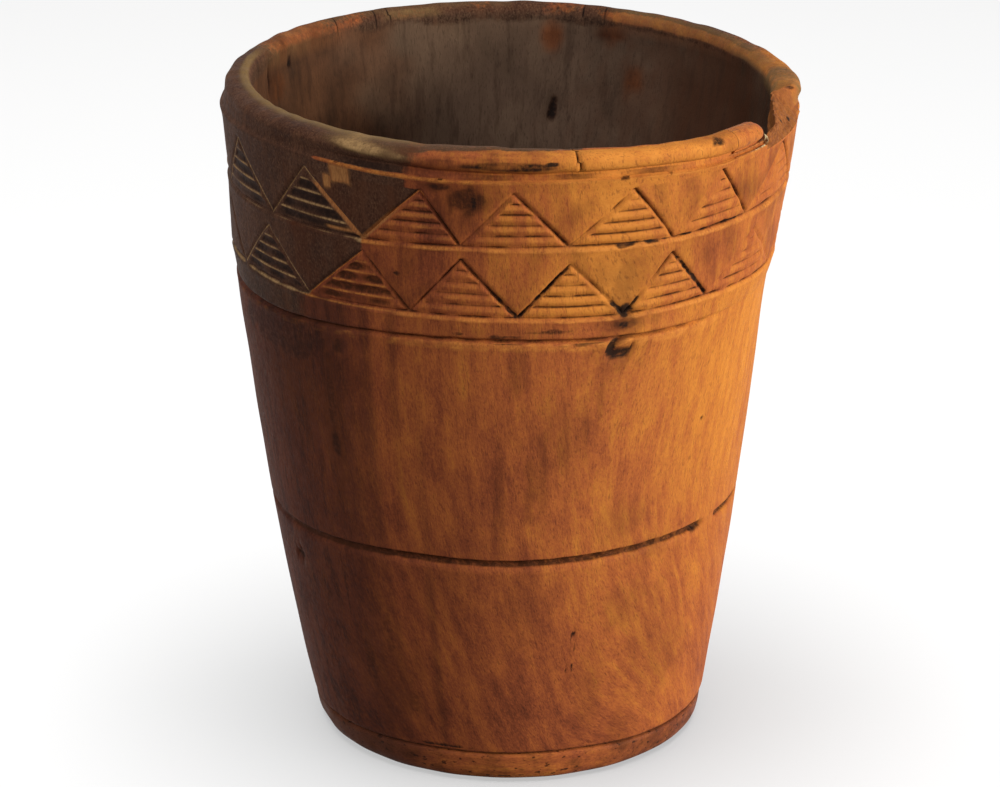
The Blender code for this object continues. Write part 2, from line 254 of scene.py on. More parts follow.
def inner_radius(height):
    """Radius of the hollow."""
    return flowing(height, HOLLOW_HEIGHTS, HOLLOW_RADII)


print("body radius at mid height:", round(float(body_radius(63.4)), 2))

# %% [markdown]
# ## Rings of the wall
# Each ring is stored as three arrays, one entry for every column: angle, radius and height. A
# short note of which zone a ring belongs to lets the carving and the finish find it later.

# %% Rings from the inside up over the lip
INSIDE_LEVELS = [10, 15.5, 22, 32, 44, 56, 68, 80, 90, 99, 107, 114, 120, 125, 130, 134, 138, 142, 145.5,
                 149, 152, 155, 157.5, 160, 162, 163.8]
LIP_RINGS, TOP_RINGS, ROLL_RINGS = 10, 3, 17
# Mean inner radius of the lip, radius of the roll's section, and how far round it goes.
LIP_RADIUS, ROLL_RADIUS, ROLL_END = 65.2, 3.0, math.radians(-65)
# Small steps in millimetres: the crown of the top, the ledge's lip and the roll's step behind it.
TOP_CROWN, EDGE_LIP, FLUSH_STEP = 0.12, 0.25, 0.15
rings = []


def add_ring(zone, angle, radius, height):
    """Store one ring of the wall."""
    ones = np.ones(COLUMNS)
    rings.append((zone, angle * ones, radius * ones, height * ones))


rim_top = round_the_rim(upper_angles, RIM_TOP) + 0.12 * unevenness(21, upper_angles, 0, 60, 0)
lip_inner = round_the_rim(upper_angles, LIP_INNER)
lip_curve = round_the_rim(upper_angles, LIP_CURVE)
lip_drop = round_the_rim(upper_angles, LIP_DROP)
roll_outer = round_the_rim(upper_angles, ROLL_OUTER) + 0.12 * unevenness(22, upper_angles, 0, 40, 0)
cove = round_the_rim(upper_angles, COVE) + 0.08 * unevenness(23, upper_angles, 0, 50, 0)
ledge = round_the_rim(upper_angles, LEDGE) + 0.08 * unevenness(24, upper_angles, 0, 50, 0)
seam = round_the_rim(lower_angles, SEAM)
band_swell = round_the_rim(upper_angles, BAND_SWELL)
cove_cut = round_the_rim(upper_angles, COVE_CUT)

add_ring("inside", upper_angles, BORE_RADIUS, seam + 0.3)
for level in INSIDE_LEVELS:
    settle = ease(120, 164, level)
    add_ring("inside", upper_angles, inner_radius(level) + (lip_inner - LIP_RADIUS) * settle, level)
for turn in np.linspace(0, math.pi / 2, LIP_RINGS):
    corner_radius = lip_inner + lip_curve * (1 - math.cos(turn))
    add_ring("lip", upper_angles, corner_radius, rim_top - lip_drop * (1 - math.sin(turn)))
top_start = lip_inner + lip_curve
roll_centre = roll_outer - ROLL_RADIUS
for share in np.linspace(0, 1, TOP_RINGS + 2)[1:-1]:
    top_radius = top_start + (roll_centre - top_start) * share
    add_ring("lip", upper_angles, top_radius, rim_top + TOP_CROWN * math.sin(math.pi * share))
# Where the cove is worn away the roll ends flush with the band below it.
roll_height = (rim_top - cove) / (1 - math.sin(ROLL_END))
edge_radius = band_radius(ledge) + band_swell + EDGE_LIP
for turn in np.linspace(math.pi / 2, ROLL_END, ROLL_RINGS):
    bead = roll_centre + ROLL_RADIUS * math.cos(turn)
    flush = (1 - cove_cut) * ease(0.1, ROLL_END, turn)
    roll_radius = bead + (edge_radius - FLUSH_STEP - bead) * flush
    add_ring("roll", upper_angles, roll_radius, rim_top - roll_height * (1 - math.sin(turn)))
print("rings up to the cove:", len(rings))

# %% Rings from the cove down the band
# Shares of the way down and out: the cove drops almost straight, then steps out to the ledge.
COVE_STEPS = (("cove", 0.28, 0.02), ("cove", 0.52, 0.08), ("cove", 0.74, 0.25), ("ledge", 0.9, 0.68),
              ("ledge", 1.0, 1.05))
MARGIN_RINGS, BETWEEN_RINGS, BORDER_RINGS = 5, 7, 11
cove_radius = rings[-1][2]
for zone, down, out in COVE_STEPS:
    step_radius = cove_radius + (edge_radius - cove_radius) * out
    add_ring(zone, upper_angles, step_radius, cove + (ledge - cove) * down)
margin_top = ledge - 0.9
for share in np.linspace(0, 1, MARGIN_RINGS + 1)[:-1]:
    height = margin_top + (upper_top - margin_top) * share
    add_ring("margin", upper_angles, band_radius(height) + band_swell + 0.15 * (1 - share), height)


def add_row(zone, angle, top, base):
    """The rings of one row of triangles, from its points down to its base line."""
    for step in range(STEPS, -1, -1):
        height = base + (top - base) * step / STEPS
        add_ring(zone + str(step), angle, band_radius(height) + round_the_rim(angle, BAND_SWELL), height)


first_upper = len(rings)
add_row("upper", upper_angles, upper_top, upper_base)
for share in np.linspace(0, 1, BETWEEN_RINGS + 2)[1:-1]:
    angle = upper_angles + (lower_angles - upper_angles) * ease(0, 1, share)
    height = upper_base + (lower_top - upper_base) * share
    add_ring("between", angle, band_radius(height) + round_the_rim(angle, BAND_SWELL), height)
first_lower = len(rings)
add_row("lower", lower_angles, lower_top, lower_base)
band_foot = round_the_rim(lower_angles, BAND_FOOT) + 0.07 * unevenness(25, lower_angles, 0, 60, 0)
taper = 0.6 * span(lower_side, 34, 62, 110, 150)
for share in np.linspace(0, 1, BORDER_RINGS + 1)[1:]:
    height = lower_base + (band_foot + 0.75 - lower_base) * share
    settle = round_the_rim(lower_angles, BAND_SWELL) * (1 - share) - taper * share ** 2
    add_ring("border", lower_angles, band_radius(height) + settle, height)
print("rings down to the foot of the band:", len(rings))

# %% Rings of the plain body down to the seam
# Pairs of rise above a line and depth of its cut, for the foot of the band and the seam.
FOOT_CUT = ((0.5, 0.2), (0.15, 0.85), (-0.3, 0.95), (-0.75, 0.45), (-1.1, 0), (-1.6, -0.12), (-2.4, -0.05))
SEAM_CUT = ((0.9, 0.05), (0.5, 0.15), (0.2, 0.45), (0, 0.9))
LINE_RISE = [1.15, 0.9, 0.6, 0.2, -0.2, -0.6, -0.95, -1.3]
UPPER_BODY_RINGS, LOWER_BODY_RINGS = 39, 35
UNDER_RADIUS = 47.0
recess = 0.2 * span(lower_side, 35, 95, 120, 170)
scored = 1 - 0.85 * span(lower_side, 38, 58, 84, 100)
left_swell = 0.75 * span(lower_side, -150, -115, -76, -48)
for drop, depth in FOOT_CUT:
    height = band_foot + drop
    share = ease(-0.3, 0.4, drop) * scored + ease(-1.4, 0.8, drop) * (1 - scored)
    step = (band_radius(height) - taper) * share + (body_radius(height) - recess + left_swell) * (1 - share)
    add_ring("foot_line", lower_angles, step - depth * scored, height)
mid_line = round_the_rim(lower_angles, MID_LINE) + 0.06 * unevenness(26, lower_angles, 0, 70, 0)
body_top = band_foot - 2.6
for share in np.linspace(0, 1, UPPER_BODY_RINGS + 1)[1:]:
    height = body_top + (mid_line + 1.4 - body_top) * share
    settle = left_swell * (1 - ease(0, 0.35, share)) - recess * (1 - ease(0, 0.75, share))
    add_ring("body", lower_angles, body_radius(height) + settle, height)
for rise in LINE_RISE:
    add_ring("mid_line", lower_angles, body_radius(mid_line + rise), mid_line + rise)
body_top = mid_line - 1.6
for share in np.linspace(0, 1, LOWER_BODY_RINGS + 1)[1:]:
    height = body_top + (seam + 1.3 - body_top) * share
    add_ring("body", lower_angles, body_radius(height), height)
for rise, depth in SEAM_CUT:
    add_ring("seam", lower_angles, body_radius(seam + rise) - depth, seam + rise)
add_ring("under", lower_angles, UNDER_RADIUS, seam)

zones = [ring[0] for ring in rings]
angle, radius, height = (np.array([ring[part] for ring in rings]) for part in (1, 2, 3))
side = turned_back(angle)
print("rings:", len(rings), "points:", angle.size)


def zone_is(*names):
    """Which rings belong to these zones, as a column for masking."""
    return np.array([zone.startswith(names) for zone in zones])[:, None]


# %% [markdown]
# ## Carving the triangles
# The sides of the triangles are V-cuts and the hatching is a set of shallow level cuts. The
# columns were laid out so that every side runs exactly along a diagonal of the grid and every
# hatch line along a ring, so the cuts come out crisp with few points. At the left the cuts are
# fresh and narrow-ridged; at the right handling has rounded them and the left-hand sides have
# nearly worn away.

# %% Depths of the cuts
HATCH_GAP = 5
SIDE_DEPTH, HATCH_DEPTH, BASE_DEPTH = 0.95, 0.60, 0.75
# Shares of depth, of dirt and painted shade, and of brightness by the number of steps from the middle of a
# cut.
# On the worn cuts the dark in the groove is partly painted shade, and the brightness is a painted highlight
# on the faces turned to the light.
SIDE_WORN = ({-2: 0.15, -1: 0.55, 0: 1, 1: 0.5, 2: 0.08}, {-1: 0.45, 0: 0.9, 1: 0.6}, {-3: 0.1, -2: 0.35})
SIDE_FRESH = (SIDE_WORN[0], {1: 0.3, 2: 0.2}, {0: 1})
HATCH_WORN = ({0: 1, 1: 0.42, 4: 0.36}, {0: 0.85, 1: 0.3}, {2: 0.3, 3: 0.6, 4: 0.5})
HATCH_FRESH = ({1: 0.6, 2: 1, 3: 1, 4: 0.6}, {1: 0.7, 2: 1, 3: 1, 4: 0.7}, {0: 1})
# Rings from just above a base line to just below it: depth, then dirt and painted shade and brightness, worn
# and fresh.
# The worn brightness just below a base line is a painted highlight on its lower edge.
BASE_LINE = {-1: (0.35, 0.1, 0, 0.4, 0), 0: (1, 0.85, 0, 0.55, 0), 1: (0.3, 0.15, 0.7, 0, 0.85),
             2: (-0.15, 0, 0.8, 0, 0), 3: (-0.1, 0, 0.4, 0, 0)}
# Sides that handling has rubbed away: half triangles counted from the first mark, and the share left.
RUBBED_UPPER = {1: 0.7, 5: 0.55, 7: 0.6, 9: 0.35, 11: 0.4}
RUBBED_LOWER = {4: 0.8, 7: 0.7, 8: 0.6, 10: 0.4, 11: 0.5}
# The one triangle of the lower row that was never hatched, at the left edge of the picture.
PLAIN_LOWER = (30, 31)
column = np.arange(COLUMNS)
cell = column // STEPS
within = column % STEPS
depth = np.zeros(angle.shape)
dirt = np.zeros(angle.shape)
bright = np.zeros(angle.shape)
off_side = np.full(angle.shape, STEPS)
print("depths of side, hatch and base line:", SIDE_DEPTH, HATCH_DEPTH, BASE_DEPTH)


# %% Carve the rows
def looked_up(places, table):
    """Values of a small table for an array of whole numbers."""
    found = np.zeros(np.shape(places))
    for place, value in table.items():
        found = np.where(places == place, value, found)
    return found


def fresh_left_of(ring, edge):
    """1 where the cuts are fresh, left of an angle, and 0 on the worn rest."""
    return span(side[ring], -165, -125, edge - 1.5, edge + 1.5)


def mark(ring, places, deep, worn, fresh, newness, strength):
    """Deepen one ring by a cut and note its dirt and painted shade, and its worn and painted bright edges."""
    for store_in, old, new, scale in zip((depth, dirt, bright), worn, fresh, (deep, 1, 1)):
        value = looked_up(places, old) * (1 - newness) + looked_up(places, new) * newness
        store_in[ring] = np.maximum(store_in[ring], value * scale * np.minimum(strength, 1.1))


def carve_row(first, even_is_top, seed, side_edge, hatch_edge, rubbed, line_shine, plain):
    """Cut one row: its sides, its base line and the hatching inside its triangles."""
    falling = (cell % 2 == 0) == even_is_top
    line = np.where(falling, STEPS - within, within)
    kept = 1 + looked_up(cell, {number: share - 1 for number, share in rubbed.items()})
    for step in range(STEPS, -1, -1):
        ring = first + STEPS - step
        off = step - line
        off_side[ring] = off
        strength = (0.95 + 0.3 * unevenness(seed, angle[ring], step, 90, 0.2)) * kept
        side_depth = SIDE_DEPTH * (0.4 + 0.6 * ease(-66, -50, side[ring]))
        mark(ring, off, side_depth, SIDE_WORN, SIDE_FRESH, fresh_left_of(ring, side_edge), strength)
        strength = 0.95 + 0.35 * unevenness(seed + 1, angle[ring], (step // HATCH_GAP) * 3.1, 70, 1)
        strength *= 1 - 0.35 * span(side[ring], 48, 60, 100, 130)
        hatched = ease(1, 3 + 5 * (1 - kept), -off) * (step <= STEPS - HATCH_GAP) * (step > 1)
        hatched *= ~np.isin(cell, plain) * (0.75 if step < HATCH_GAP else 1.0)
        mark(ring, np.full(COLUMNS, step % HATCH_GAP), HATCH_DEPTH, HATCH_WORN, HATCH_FRESH,
             fresh_left_of(ring, hatch_edge), hatched * strength)
    for below, (share, old_dirt_and_shade, old_bright, new_dirt, new_bright) in BASE_LINE.items():
        ring = first + STEPS + below
        strength = 0.9 + 0.3 * unevenness(seed + 2, angle[ring], 0, 70, 1)
        newness = fresh_left_of(ring, hatch_edge)
        shine = old_bright + (new_bright * line_shine - old_bright) * newness
        cut = np.maximum(depth[ring], share * BASE_DEPTH * strength)
        depth[ring] = cut if share > 0 else share * strength
        dirt[ring] = np.maximum(dirt[ring], strength * (old_dirt_and_shade + (new_dirt - old_dirt_and_shade) * newness))
        bright[ring] = np.maximum(bright[ring], strength * shine)


carve_row(first_upper, True, 31, UPPER_MARKS[4] + 1, UPPER_MARKS[3] - 1, RUBBED_UPPER, 0.55, ())
carve_row(first_lower, False, 41, LOWER_MARKS[3], LOWER_MARKS[3] + 7, RUBBED_LOWER, 1, PLAIN_LOWER)
print("deepest cut:", round(float(depth.max()), 2), "mm")

# %% [markdown]
# ## Lines, chips and cracks
# The scored line round the middle is one long knife cut with a crisp upper edge. Chips along the
# base lines, short cracks in the roll, the dent of a knot and a gouge low at the left are the
# marks of use that make this beaker this one.

# %% Scored lines
LINE_CUT = [0, 0.5, 1, 1.05, 1.05, 1, 0.45, 0]
line_depth = np.zeros(angle.shape)
line_on = 1 - patch(side, 64, 58.5, 64, 3, 3, 0.3)
for ring in np.flatnonzero(zone_is("mid_line")):
    wall_cut = np.interp(height[ring] - mid_line, LINE_RISE[::-1], LINE_CUT[::-1])
    wall_cut *= 0.75 + 0.25 * ease(-60, -35, side[ring])
    line_depth[ring] = wall_cut * line_on[ring] * (0.95 + 0.25 * unevenness(51, angle[ring], 0, 80, 0))
depth += line_depth
# The scored lines and the seam are darkened in their cuts: dirt and painted shade.
dirt = np.maximum(dirt, np.clip(line_depth * 1.3 - 0.15, 0, 1))
in_foot_line = zone_is("foot_line")
scored_here = in_foot_line * np.clip((body_radius(height) - radius) * 1.3, 0, 1)
dirt = np.maximum(dirt, scored_here * (0.7 + 0.3 * unevenness(52, angle, 0, 60, 0)))
in_seam = zone_is("seam") * ease(1, 0.3, height - seam)
dirt = np.maximum(dirt, in_seam * (0.8 + 0.2 * unevenness(54, angle, 0, 60, 0)))
# The edge below the foot of the band is brighter: rubbed wood and a painted highlight where it faces up.
below_band = in_foot_line * (radius > body_radius(height) - 0.5) * ease(-0.6, -1, height - band_foot)
below_band = below_band * (height < np.mean(band_foot) + 3) * (1 - ease(46, 56, side))
below_band *= 0.45 * ease(-95, -70, side) + 0.45 * ease(-28, -10, side)
ragged = 0.15 + 0.15 * ease(-46, -30, side)
bright = np.maximum(bright, below_band * (0.72 + ragged * unevenness(53, angle, height, 110, 1.5)))
print("deepest scored line:", round(float(line_depth.max()), 2), "mm")

# %% Chips, dents and the knot
# Each chip or dent: angle, height, half width in degrees, half height and depth in millimetres.
CHIPS = [(23, 146.2, 2.6, 0.35, 0.3), (29, 146, 1.6, 0.35, 0.3), (47, 146.9, 3.2, 0.4, 0.35),
         (-62, 53, 1.9, 1.2, 0.9), (-61, 54.2, 0.8, 0.7, 0.6), (50, 94.8, 0.7, 0.5, 0.3),
         (52.5, 63.7, 2.2, 0.9, 0.6), (24.8, 129.2, 1.6, 0.9, 0.4), (17, 42.9, 0.6, 0.8, 0.4),
         (15.9, 37.3, 0.45, 0.8, 0.35), (15.3, 31.5, 0.45, 0.9, 0.3), (86, 168, 1, 0.8, 0.12)]
DENTS_INSIDE = [(-109.6, 162.4, 1.1, 3.4, 1.5), (-120, 163.7, 0.9, 1.1, 1), (169.5, 143.6, 1.6, 2.6, 0.9)]
KNOT_ANGLE, KNOT_HEIGHT, KNOT_HALF, KNOT_DEPTH = 24.7, 119.5, 3.3, 0.7


def dented(places, among):
    """Ragged dents at some places, as their depth and the share of each point inside one."""
    deep = np.zeros(angle.shape)
    share = np.zeros(angle.shape)
    rough = 1 + 0.25 * unevenness(61, angle, height, 120, 1.2, 12)
    for at_angle, at_height, half_angle, half_height, down in places:
        here = patch(side, height, at_angle, at_height, half_angle * rough, half_height * rough, 0.45) * among
        share = np.maximum(share, here)
        deep += here * down
    return deep, share


outside = ~zone_is("inside", "lip", "under")
chip_depth, chipped = dented(CHIPS, outside)
dent_depth, inner_dent = dented(DENTS_INSIDE, zone_is("inside", "lip"))
# The knot is a ragged ring of lost wood round a heart that stayed, open at its top.
knot_across = turned_back(side - KNOT_ANGLE) / KNOT_HALF
knot_up = (height - KNOT_HEIGHT) / KNOT_HALF
knot_rough = 0.16 * unevenness(62, angle, height, 150, 1.6, 40)
knot = outside * (1 - ease(0.85, 1.1, np.hypot(knot_across, knot_up) + knot_rough))
knot_heart = 1 - ease(0.38, 0.62, np.hypot(knot_across - 0.25, knot_up - 0.25) + knot_rough)
knot_gap = ease(0.45, 0.75, 0.4 * knot_across + 0.8 * knot_up + knot_rough)
knot_hole = knot * (1 - knot_heart) * (1 - knot_gap)
depth = depth * outside + chip_depth + KNOT_DEPTH * knot_hole - dent_depth
dirt = np.maximum(dirt * outside, np.maximum(chipped * 0.9, inner_dent))
print("chips:", len(CHIPS), "dents inside:", len(DENTS_INSIDE))

# %% Cracks over the rim
# Each crack: angle at the top, angle at the bottom and depth in millimetres.
CRACKS = [(11.8, 13, 1.2), (98, 99, 0.6), (163, 163.6, 0.8), (158, 158.2, 0.7),
          (-148, -147.6, 0.8), (-151.5, -151, 0.7), (-137, -137.2, 0.6)]
# Beyond this angle a crack shows only on the inside of the lip, where it is cut outwards.
BACK_ANGLE, BACK_SHARE = 120, -0.6
roll_rings = np.flatnonzero(zone_is("roll"))
lip_rings = np.flatnonzero(zone_is("lip"))
crack = np.zeros(angle.shape)
for top_angle, low_angle, deep in CRACKS:
    back = abs(top_angle) > BACK_ANGLE
    reach = lip_rings if back else np.concatenate([lip_rings[-4:], roll_rings])
    for i, ring in enumerate(reach):
        share = i / (len(reach) - 1)
        here = top_angle + (low_angle - top_angle) * share
        nearest = np.argmin(np.abs(turned_back(angle[ring] - here)))
        fade = math.sin(math.pi * min(1, 0.9 * share + 0.15)) ** 0.5
        crack[ring, nearest] = fade
        depth[ring, nearest] += (BACK_SHARE if back else 1) * deep * fade
dirt = np.maximum(dirt, crack)
print("cracks:", len(CRACKS))

# %% [markdown]
# ## The broken rim
# At the right a length of the roll broke off. One part of it was glued back, and beyond that
# the wood is missing down to a sloping scar that catches the light. The same rings are bent into
# the seat of the mended piece and into the scar, so the wall stays one closed skin.

# %% Seat of the mended piece
MEND_START, MEND_END, SCAR_END = 48.0, 57.5, 83.0
SEAT_DEPTH, MEND_RISE = 0.52, 0.06
rim_rings = np.flatnonzero(zone_is("lip", "roll", "cove", "ledge"))
rim_side = side[rim_rings]
first_seat = int(np.argmax(rim_side[0] > MEND_START))
roll_end = rim_side[0][first_seat - 1]
mended = np.flatnonzero(zone_is("lip", "roll"))
mended = np.append(mended, mended[-1] + 1)
angle[mended, first_seat] = roll_end + 0.05
on_seat = (rim_side > MEND_START) & (rim_side < MEND_END + 2.4) & np.isin(rim_rings, mended)[:, None]
seat_level = cove + (ledge - cove) * SEAT_DEPTH
seat = seat_level + 0.03 * unevenness(71, rim_side, radius[rim_rings], 90, 2)
height[rim_rings] = np.where(on_seat, np.minimum(height[rim_rings], seat), height[rim_rings])
radius[rim_rings] = np.where(on_seat, np.minimum(radius[rim_rings], cove_radius), radius[rim_rings])
print("the roll ends at", round(float(roll_end), 1), "degrees")

# %% Scar beside it
# Across the scar: up from the lost lip to the crest of the split, then down its rough outer face.
SPLIT_CHORD, SPLIT_LEAST, SPLIT_MOST = 63.6, 64.3, 70.7
LOST_LIP, SCAR_FOOT, SCAR_FOOT_RADIUS, INSIDE_TOP = 160.2, 161.6, 71.2, 158.6
CREST = ((57, 165), (60, 165.4), (62, 166), (65, 166.8), (75, 168), (83, 168.5))
STOPS = [0, 0.16, 0.26, 0.46, 0.58, 1]
along = np.linspace(0, 1, len(rim_rings))
split = SPLIT_CHORD / np.sin(np.radians(np.clip(rim_side[0], 40, 90)))
split = np.clip(split, SPLIT_LEAST, SPLIT_MOST)
crest = straight(rim_side[0], *CREST)
lost_lip = LOST_LIP + 0.3 * unevenness(73, rim_side[0], 0, 60, 0)
scar_radius = np.zeros(rim_side.shape)
scar_height = np.zeros(rim_side.shape)
for i, (inner, edge, low, top) in enumerate(zip(lip_inner, split, lost_lip, crest)):
    outline = [inner - 0.2, edge - 0.7, edge - 0.2, edge + 0.1, edge + 0.7, SCAR_FOOT_RADIUS]
    scar_radius[:, i] = np.interp(along, STOPS, outline)
    scar_height[:, i] = np.interp(along, STOPS, [low - 0.4, low, low + 0.9, top, top - 0.25, SCAR_FOOT])
rough = 0.2 * unevenness(72, rim_side, along[:, None] * 30, 160, 1, 40)
on_scar = span(rim_side, MEND_END + 1.4, MEND_END + 2.2, SCAR_END - 3, SCAR_END + 7)
radius[rim_rings] += (scar_radius + rough - radius[rim_rings]) * on_scar
height[rim_rings] += (scar_height + rough - height[rim_rings]) * on_scar
for i, ring in enumerate(np.flatnonzero(zone_is("inside"))[-3:]):
    height[ring] = np.where(on_seat[0], np.minimum(height[ring], ledge - 0.6 + 0.1 * i), height[ring])
    height[ring] = np.where(on_scar[0] > 0.5, np.minimum(height[ring], INSIDE_TOP + 0.4 * i), height[ring])
for i, ring in enumerate(np.flatnonzero(zone_is("margin"))):
    flush = np.minimum(height[ring], SCAR_FOOT - 0.1 - 0.1 * i)
    height[ring] += (flush - height[ring]) * on_scar[0]
    radius[ring] += (band_radius(height[ring]) - radius[ring]) * on_scar[0]
scar = np.zeros(angle.shape)
scar[rim_rings] = np.maximum(on_scar, on_seat * 0.6)
dirt[rim_rings] *= 1 - on_scar
depth[rim_rings] *= 1 - np.maximum(on_scar, on_seat)
print("scar from", MEND_END, "to", SCAR_END, "degrees")

# %% [markdown]
# ## One solid wall
# The rings are joined into faces. Inside a row of triangles each small square is split along the
# diagonal that the cut follows, and elsewhere the squares stay whole.

# %% Join the rings
SHARP_WALL = math.radians(68)


def hand_marks(angle, height):
    """The slight unevenness of all the outside, in millimetres."""
    return 0.10 * unevenness(81, angle, height, 9, 0.05) + 0.05 * unevenness(82, angle, height, 34, 0.16)


def joined_faces():
    """Faces between neighbouring rings, with the last ring joined to the first."""
    faces = []
    right = np.roll(column, -1)
    for ring, zone in enumerate(zones):
        low = (ring + 1) % len(zones)
        a, b = ring * COLUMNS + column, ring * COLUMNS + right
        c, d = low * COLUMNS + right, low * COLUMNS + column
        if not zone.startswith(("upper", "lower")):
            faces += np.stack([d, c, b, a], axis=1).tolist()
            continue
        falling = (cell % 2 == 0) == zone.startswith("upper")
        one = np.stack([d, c, np.where(falling, a, b)], axis=1)
        two = np.stack([np.where(falling, c, d), b, a], axis=1)
        faces += one.tolist() + two.tolist()
    return faces


def skin_object(name, corners, faces):
    """A smooth-shaded object from points and faces."""
    mesh = bpy.data.meshes.new(name)
    mesh.from_pydata(corners, [], faces)
    mesh.shade_smooth()
    item = bpy.data.objects.new(name, mesh)
    bpy.context.scene.collection.objects.link(item)
    return item


skin = radius - depth + hand_marks(angle, height) * outside
lean = flowing(height, LEAN_HEIGHTS, LEAN)
turn = np.radians(angle)
points = np.stack([skin * np.sin(turn) + lean, -skin * np.cos(turn), height], axis=-1) * MM
wall = skin_object("carved_wall", points.reshape(-1, 3).tolist(), joined_faces())
wall.data.set_sharp_from_angle(angle=SHARP_WALL)
# The broken end of the roll beside the mended piece stays a crisp edge all the way down.
broken_end = {int(ring) * COLUMNS + first_seat - 1 for ring in np.append(mended, mended[-1] + 1)}
for line in wall.data.edges:
    if broken_end.issuperset(line.vertices):
        line.use_edge_sharp = True
print("wall faces:", len(wall.data.polygons))

# %% [markdown]
# ## What use has done to the surface, and where light and shade are painted
# The finish needs to know where it is: dirt and painted shade lie in the cuts, handling and
# painted highlights brighten the edges, a dark film of old grease covers the left of the band and
# the roll, painted shade darkens the hollow, and there are a few stains.
# Each of these is worked out as a number for every point and stored on the mesh, where the
# material can read it. The film comes first, because it ends at another angle on each zone.

# %% Dark film, grease and painted shade
blotch = unevenness(91, angle, height, 26, 0.28, 60)
fine_blotch = unevenness(92, angle, height, 90, 0.9, 60)

# Where the dark film ends on each zone, in degrees, how strong it is there and how softly it ends.
FILM_EDGES = {"lip": (-21, 0.9, 4.5), "roll": (-20.5, 0.9, 7), "cove": (-21, 0.9, 6),
              "ledge": (-39.5, 0.9, 1.5), "margin": (-19, 1, 2.2), "between": (-30.5, 1, 1.5),
              "border": (-44, 0.75, 8)}
# In a row of triangles it ends along their sides: at one mark inside them and at the next between them.
ROW_EDGES = {"upper": (UPPER_MARKS[3], UPPER_MARKS[4]), "lower": (LOWER_MARKS[2], LOWER_MARKS[3])}
film = np.zeros(angle.shape)
for zone, (edge, strong, soft) in FILM_EDGES.items():
    here = strong * (1 - ease(-soft, soft, side - edge - 2.2 * blotch))
    film = np.where(zone_is(zone), here, film)
above_side = ease(-0.5, 1, off_side)
for zone, (inside_edge, ground_edge) in ROW_EDGES.items():
    inside = 1 - ease(-0.6, 0.6, side - inside_edge)
    ground = (1 - ease(-0.6, 0.6, side - ground_edge)) * above_side
    film = np.where(zone_is(zone), np.maximum(inside, ground), film)
film *= ease(-178, -96, side + 10 * blotch)
warm_left = zone_is("lip", "roll") * span(side, -140, -126, -116, -104)
film *= 1 - 0.5 * warm_left

# The same grease worn thin streaks the left of the body; most of the hollow gets painted shade in
# the same number.
streaks = unevenness(97, angle, height, 70, 0.02, 60)
gloom = 0.85 * (1 - ease(-38, -19, side - 4.5 * streaks - 1.5 * blotch))
gloom += 0.15 * (1 - ease(-54, -38, side - 3 * streaks))
gloom += 0.25 * ease(96, 118, height) * (1 - ease(-50, -32, side - 4 * streaks))
gloom *= zone_is("body", "mid_line", "foot_line", "seam", "border") * ease(-175, -120, side + 14 * blotch)
# Painted shade in the hollow: strong on its sides and the front, strongest on the right, none at the back.
inner_shade = straight(np.abs(side), (0, 0.45), (110, 0.5), (140, 0.3), (165, 0)) + 0.12 * blotch
inner_shade += 0.3 * span(side, 40, 80, 125, 150)
gloom = np.where(zone_is("inside", "lip"), np.clip(inner_shade, 0, 1), gloom)
print("zones with an edge of film:", len(FILM_EDGES) + len(ROW_EDGES))

# %% [markdown]
# ## Wear, painted highlights and painted shade on the rim
# Hands and mouths have polished the rim: the edge of the ledge is rubbed bright and painted with a
# highlight, the cove below the roll holds dirt and painted shade, the top of the lip is worn down to
# bare tan wood in some lengths and not in others, and a few painted glints lie on the lip and on a
# worn patch of the roll.

# %% Cove, ledge and lip
clean_end = span(side, 28, 42, 60, 64)
# Dirt and painted shade darken the cove under the roll.
dirt = np.maximum(dirt, zone_is("cove") * (side > -40) * (0.52 + 0.15 * blotch) * (1 - 0.5 * clean_end))
# The edge of the ledge is rubbed bright and also carries a painted highlight where it faces up.
arris = zone_is("ledge") * span(side, -41, -38, 150, 175)
bright = np.maximum(bright, arris * (0.95 + 0.3 * fine_blotch))
dirt = np.maximum(dirt * (1 - 0.8 * arris), arris * ease(0.55, 0.85, fine_blotch) * 0.9 * (1 - clean_end))
back_rim = zone_is("lip", "roll") * ease(81, 86, np.abs(side))
rim_film = straight(side, (-180, 0.66), (-157, 0.58), (-145, 0.44), (-135, 0.10), (-118, 0.05), (-100, 0.3),
                    (86, 0.10), (104, 0.50), (125, 0.54), (148, 0.52), (163, 0.58), (180, 0.66))
film = np.maximum(film, back_rim * (rim_film + 0.15 * blotch))

# Bare tan wood, by rings from the inner edge: a ridge along the top and the inner corner of the lip.
ridge = np.zeros(angle.shape)
inner_corner = np.zeros(angle.shape)
for i, ring in enumerate(np.concatenate([lip_rings, roll_rings[:5]])):
    ridge[ring] = span(i, 4, 7, 9.5, 13)
    inner_corner[ring] = span(i, 0.5, 2.5, 4.5, 7)
front_left = span(side, -114, -98, -26, -12)
back_right = span(side, 96, 108, 150, 161)
back_left = 1 - ease(-125, -105, side)
# A patch on the front left of the roll is worn bare and carries a painted glossy highlight.
worn_height = 169.7 - 0.10 * (side + 28)
worn_and_lit_patch = patch(side, height, -28, worn_height, 8.5, 1.25, 0.6) * zone_is("roll", "lip")
worn_and_lit_patch *= straight(side, (-37, 0.8), (-33, 1), (-28, 0.72), (-20, 0.6))
on_lip = ridge * (front_left + 0.2 * back_left) + worn_and_lit_patch
on_lip += (0.5 * inner_corner + 0.6 * ridge) * back_right + 0.3 * warm_left
# A painted glint along the inner corner of the lip at the back left, mixed in as pale lip colour.
glint = inner_corner * span(side, -166, -160, -154, -148)
on_lip = np.clip(on_lip + glint * (0.45 + 0.3 * fine_blotch), 0, 1)

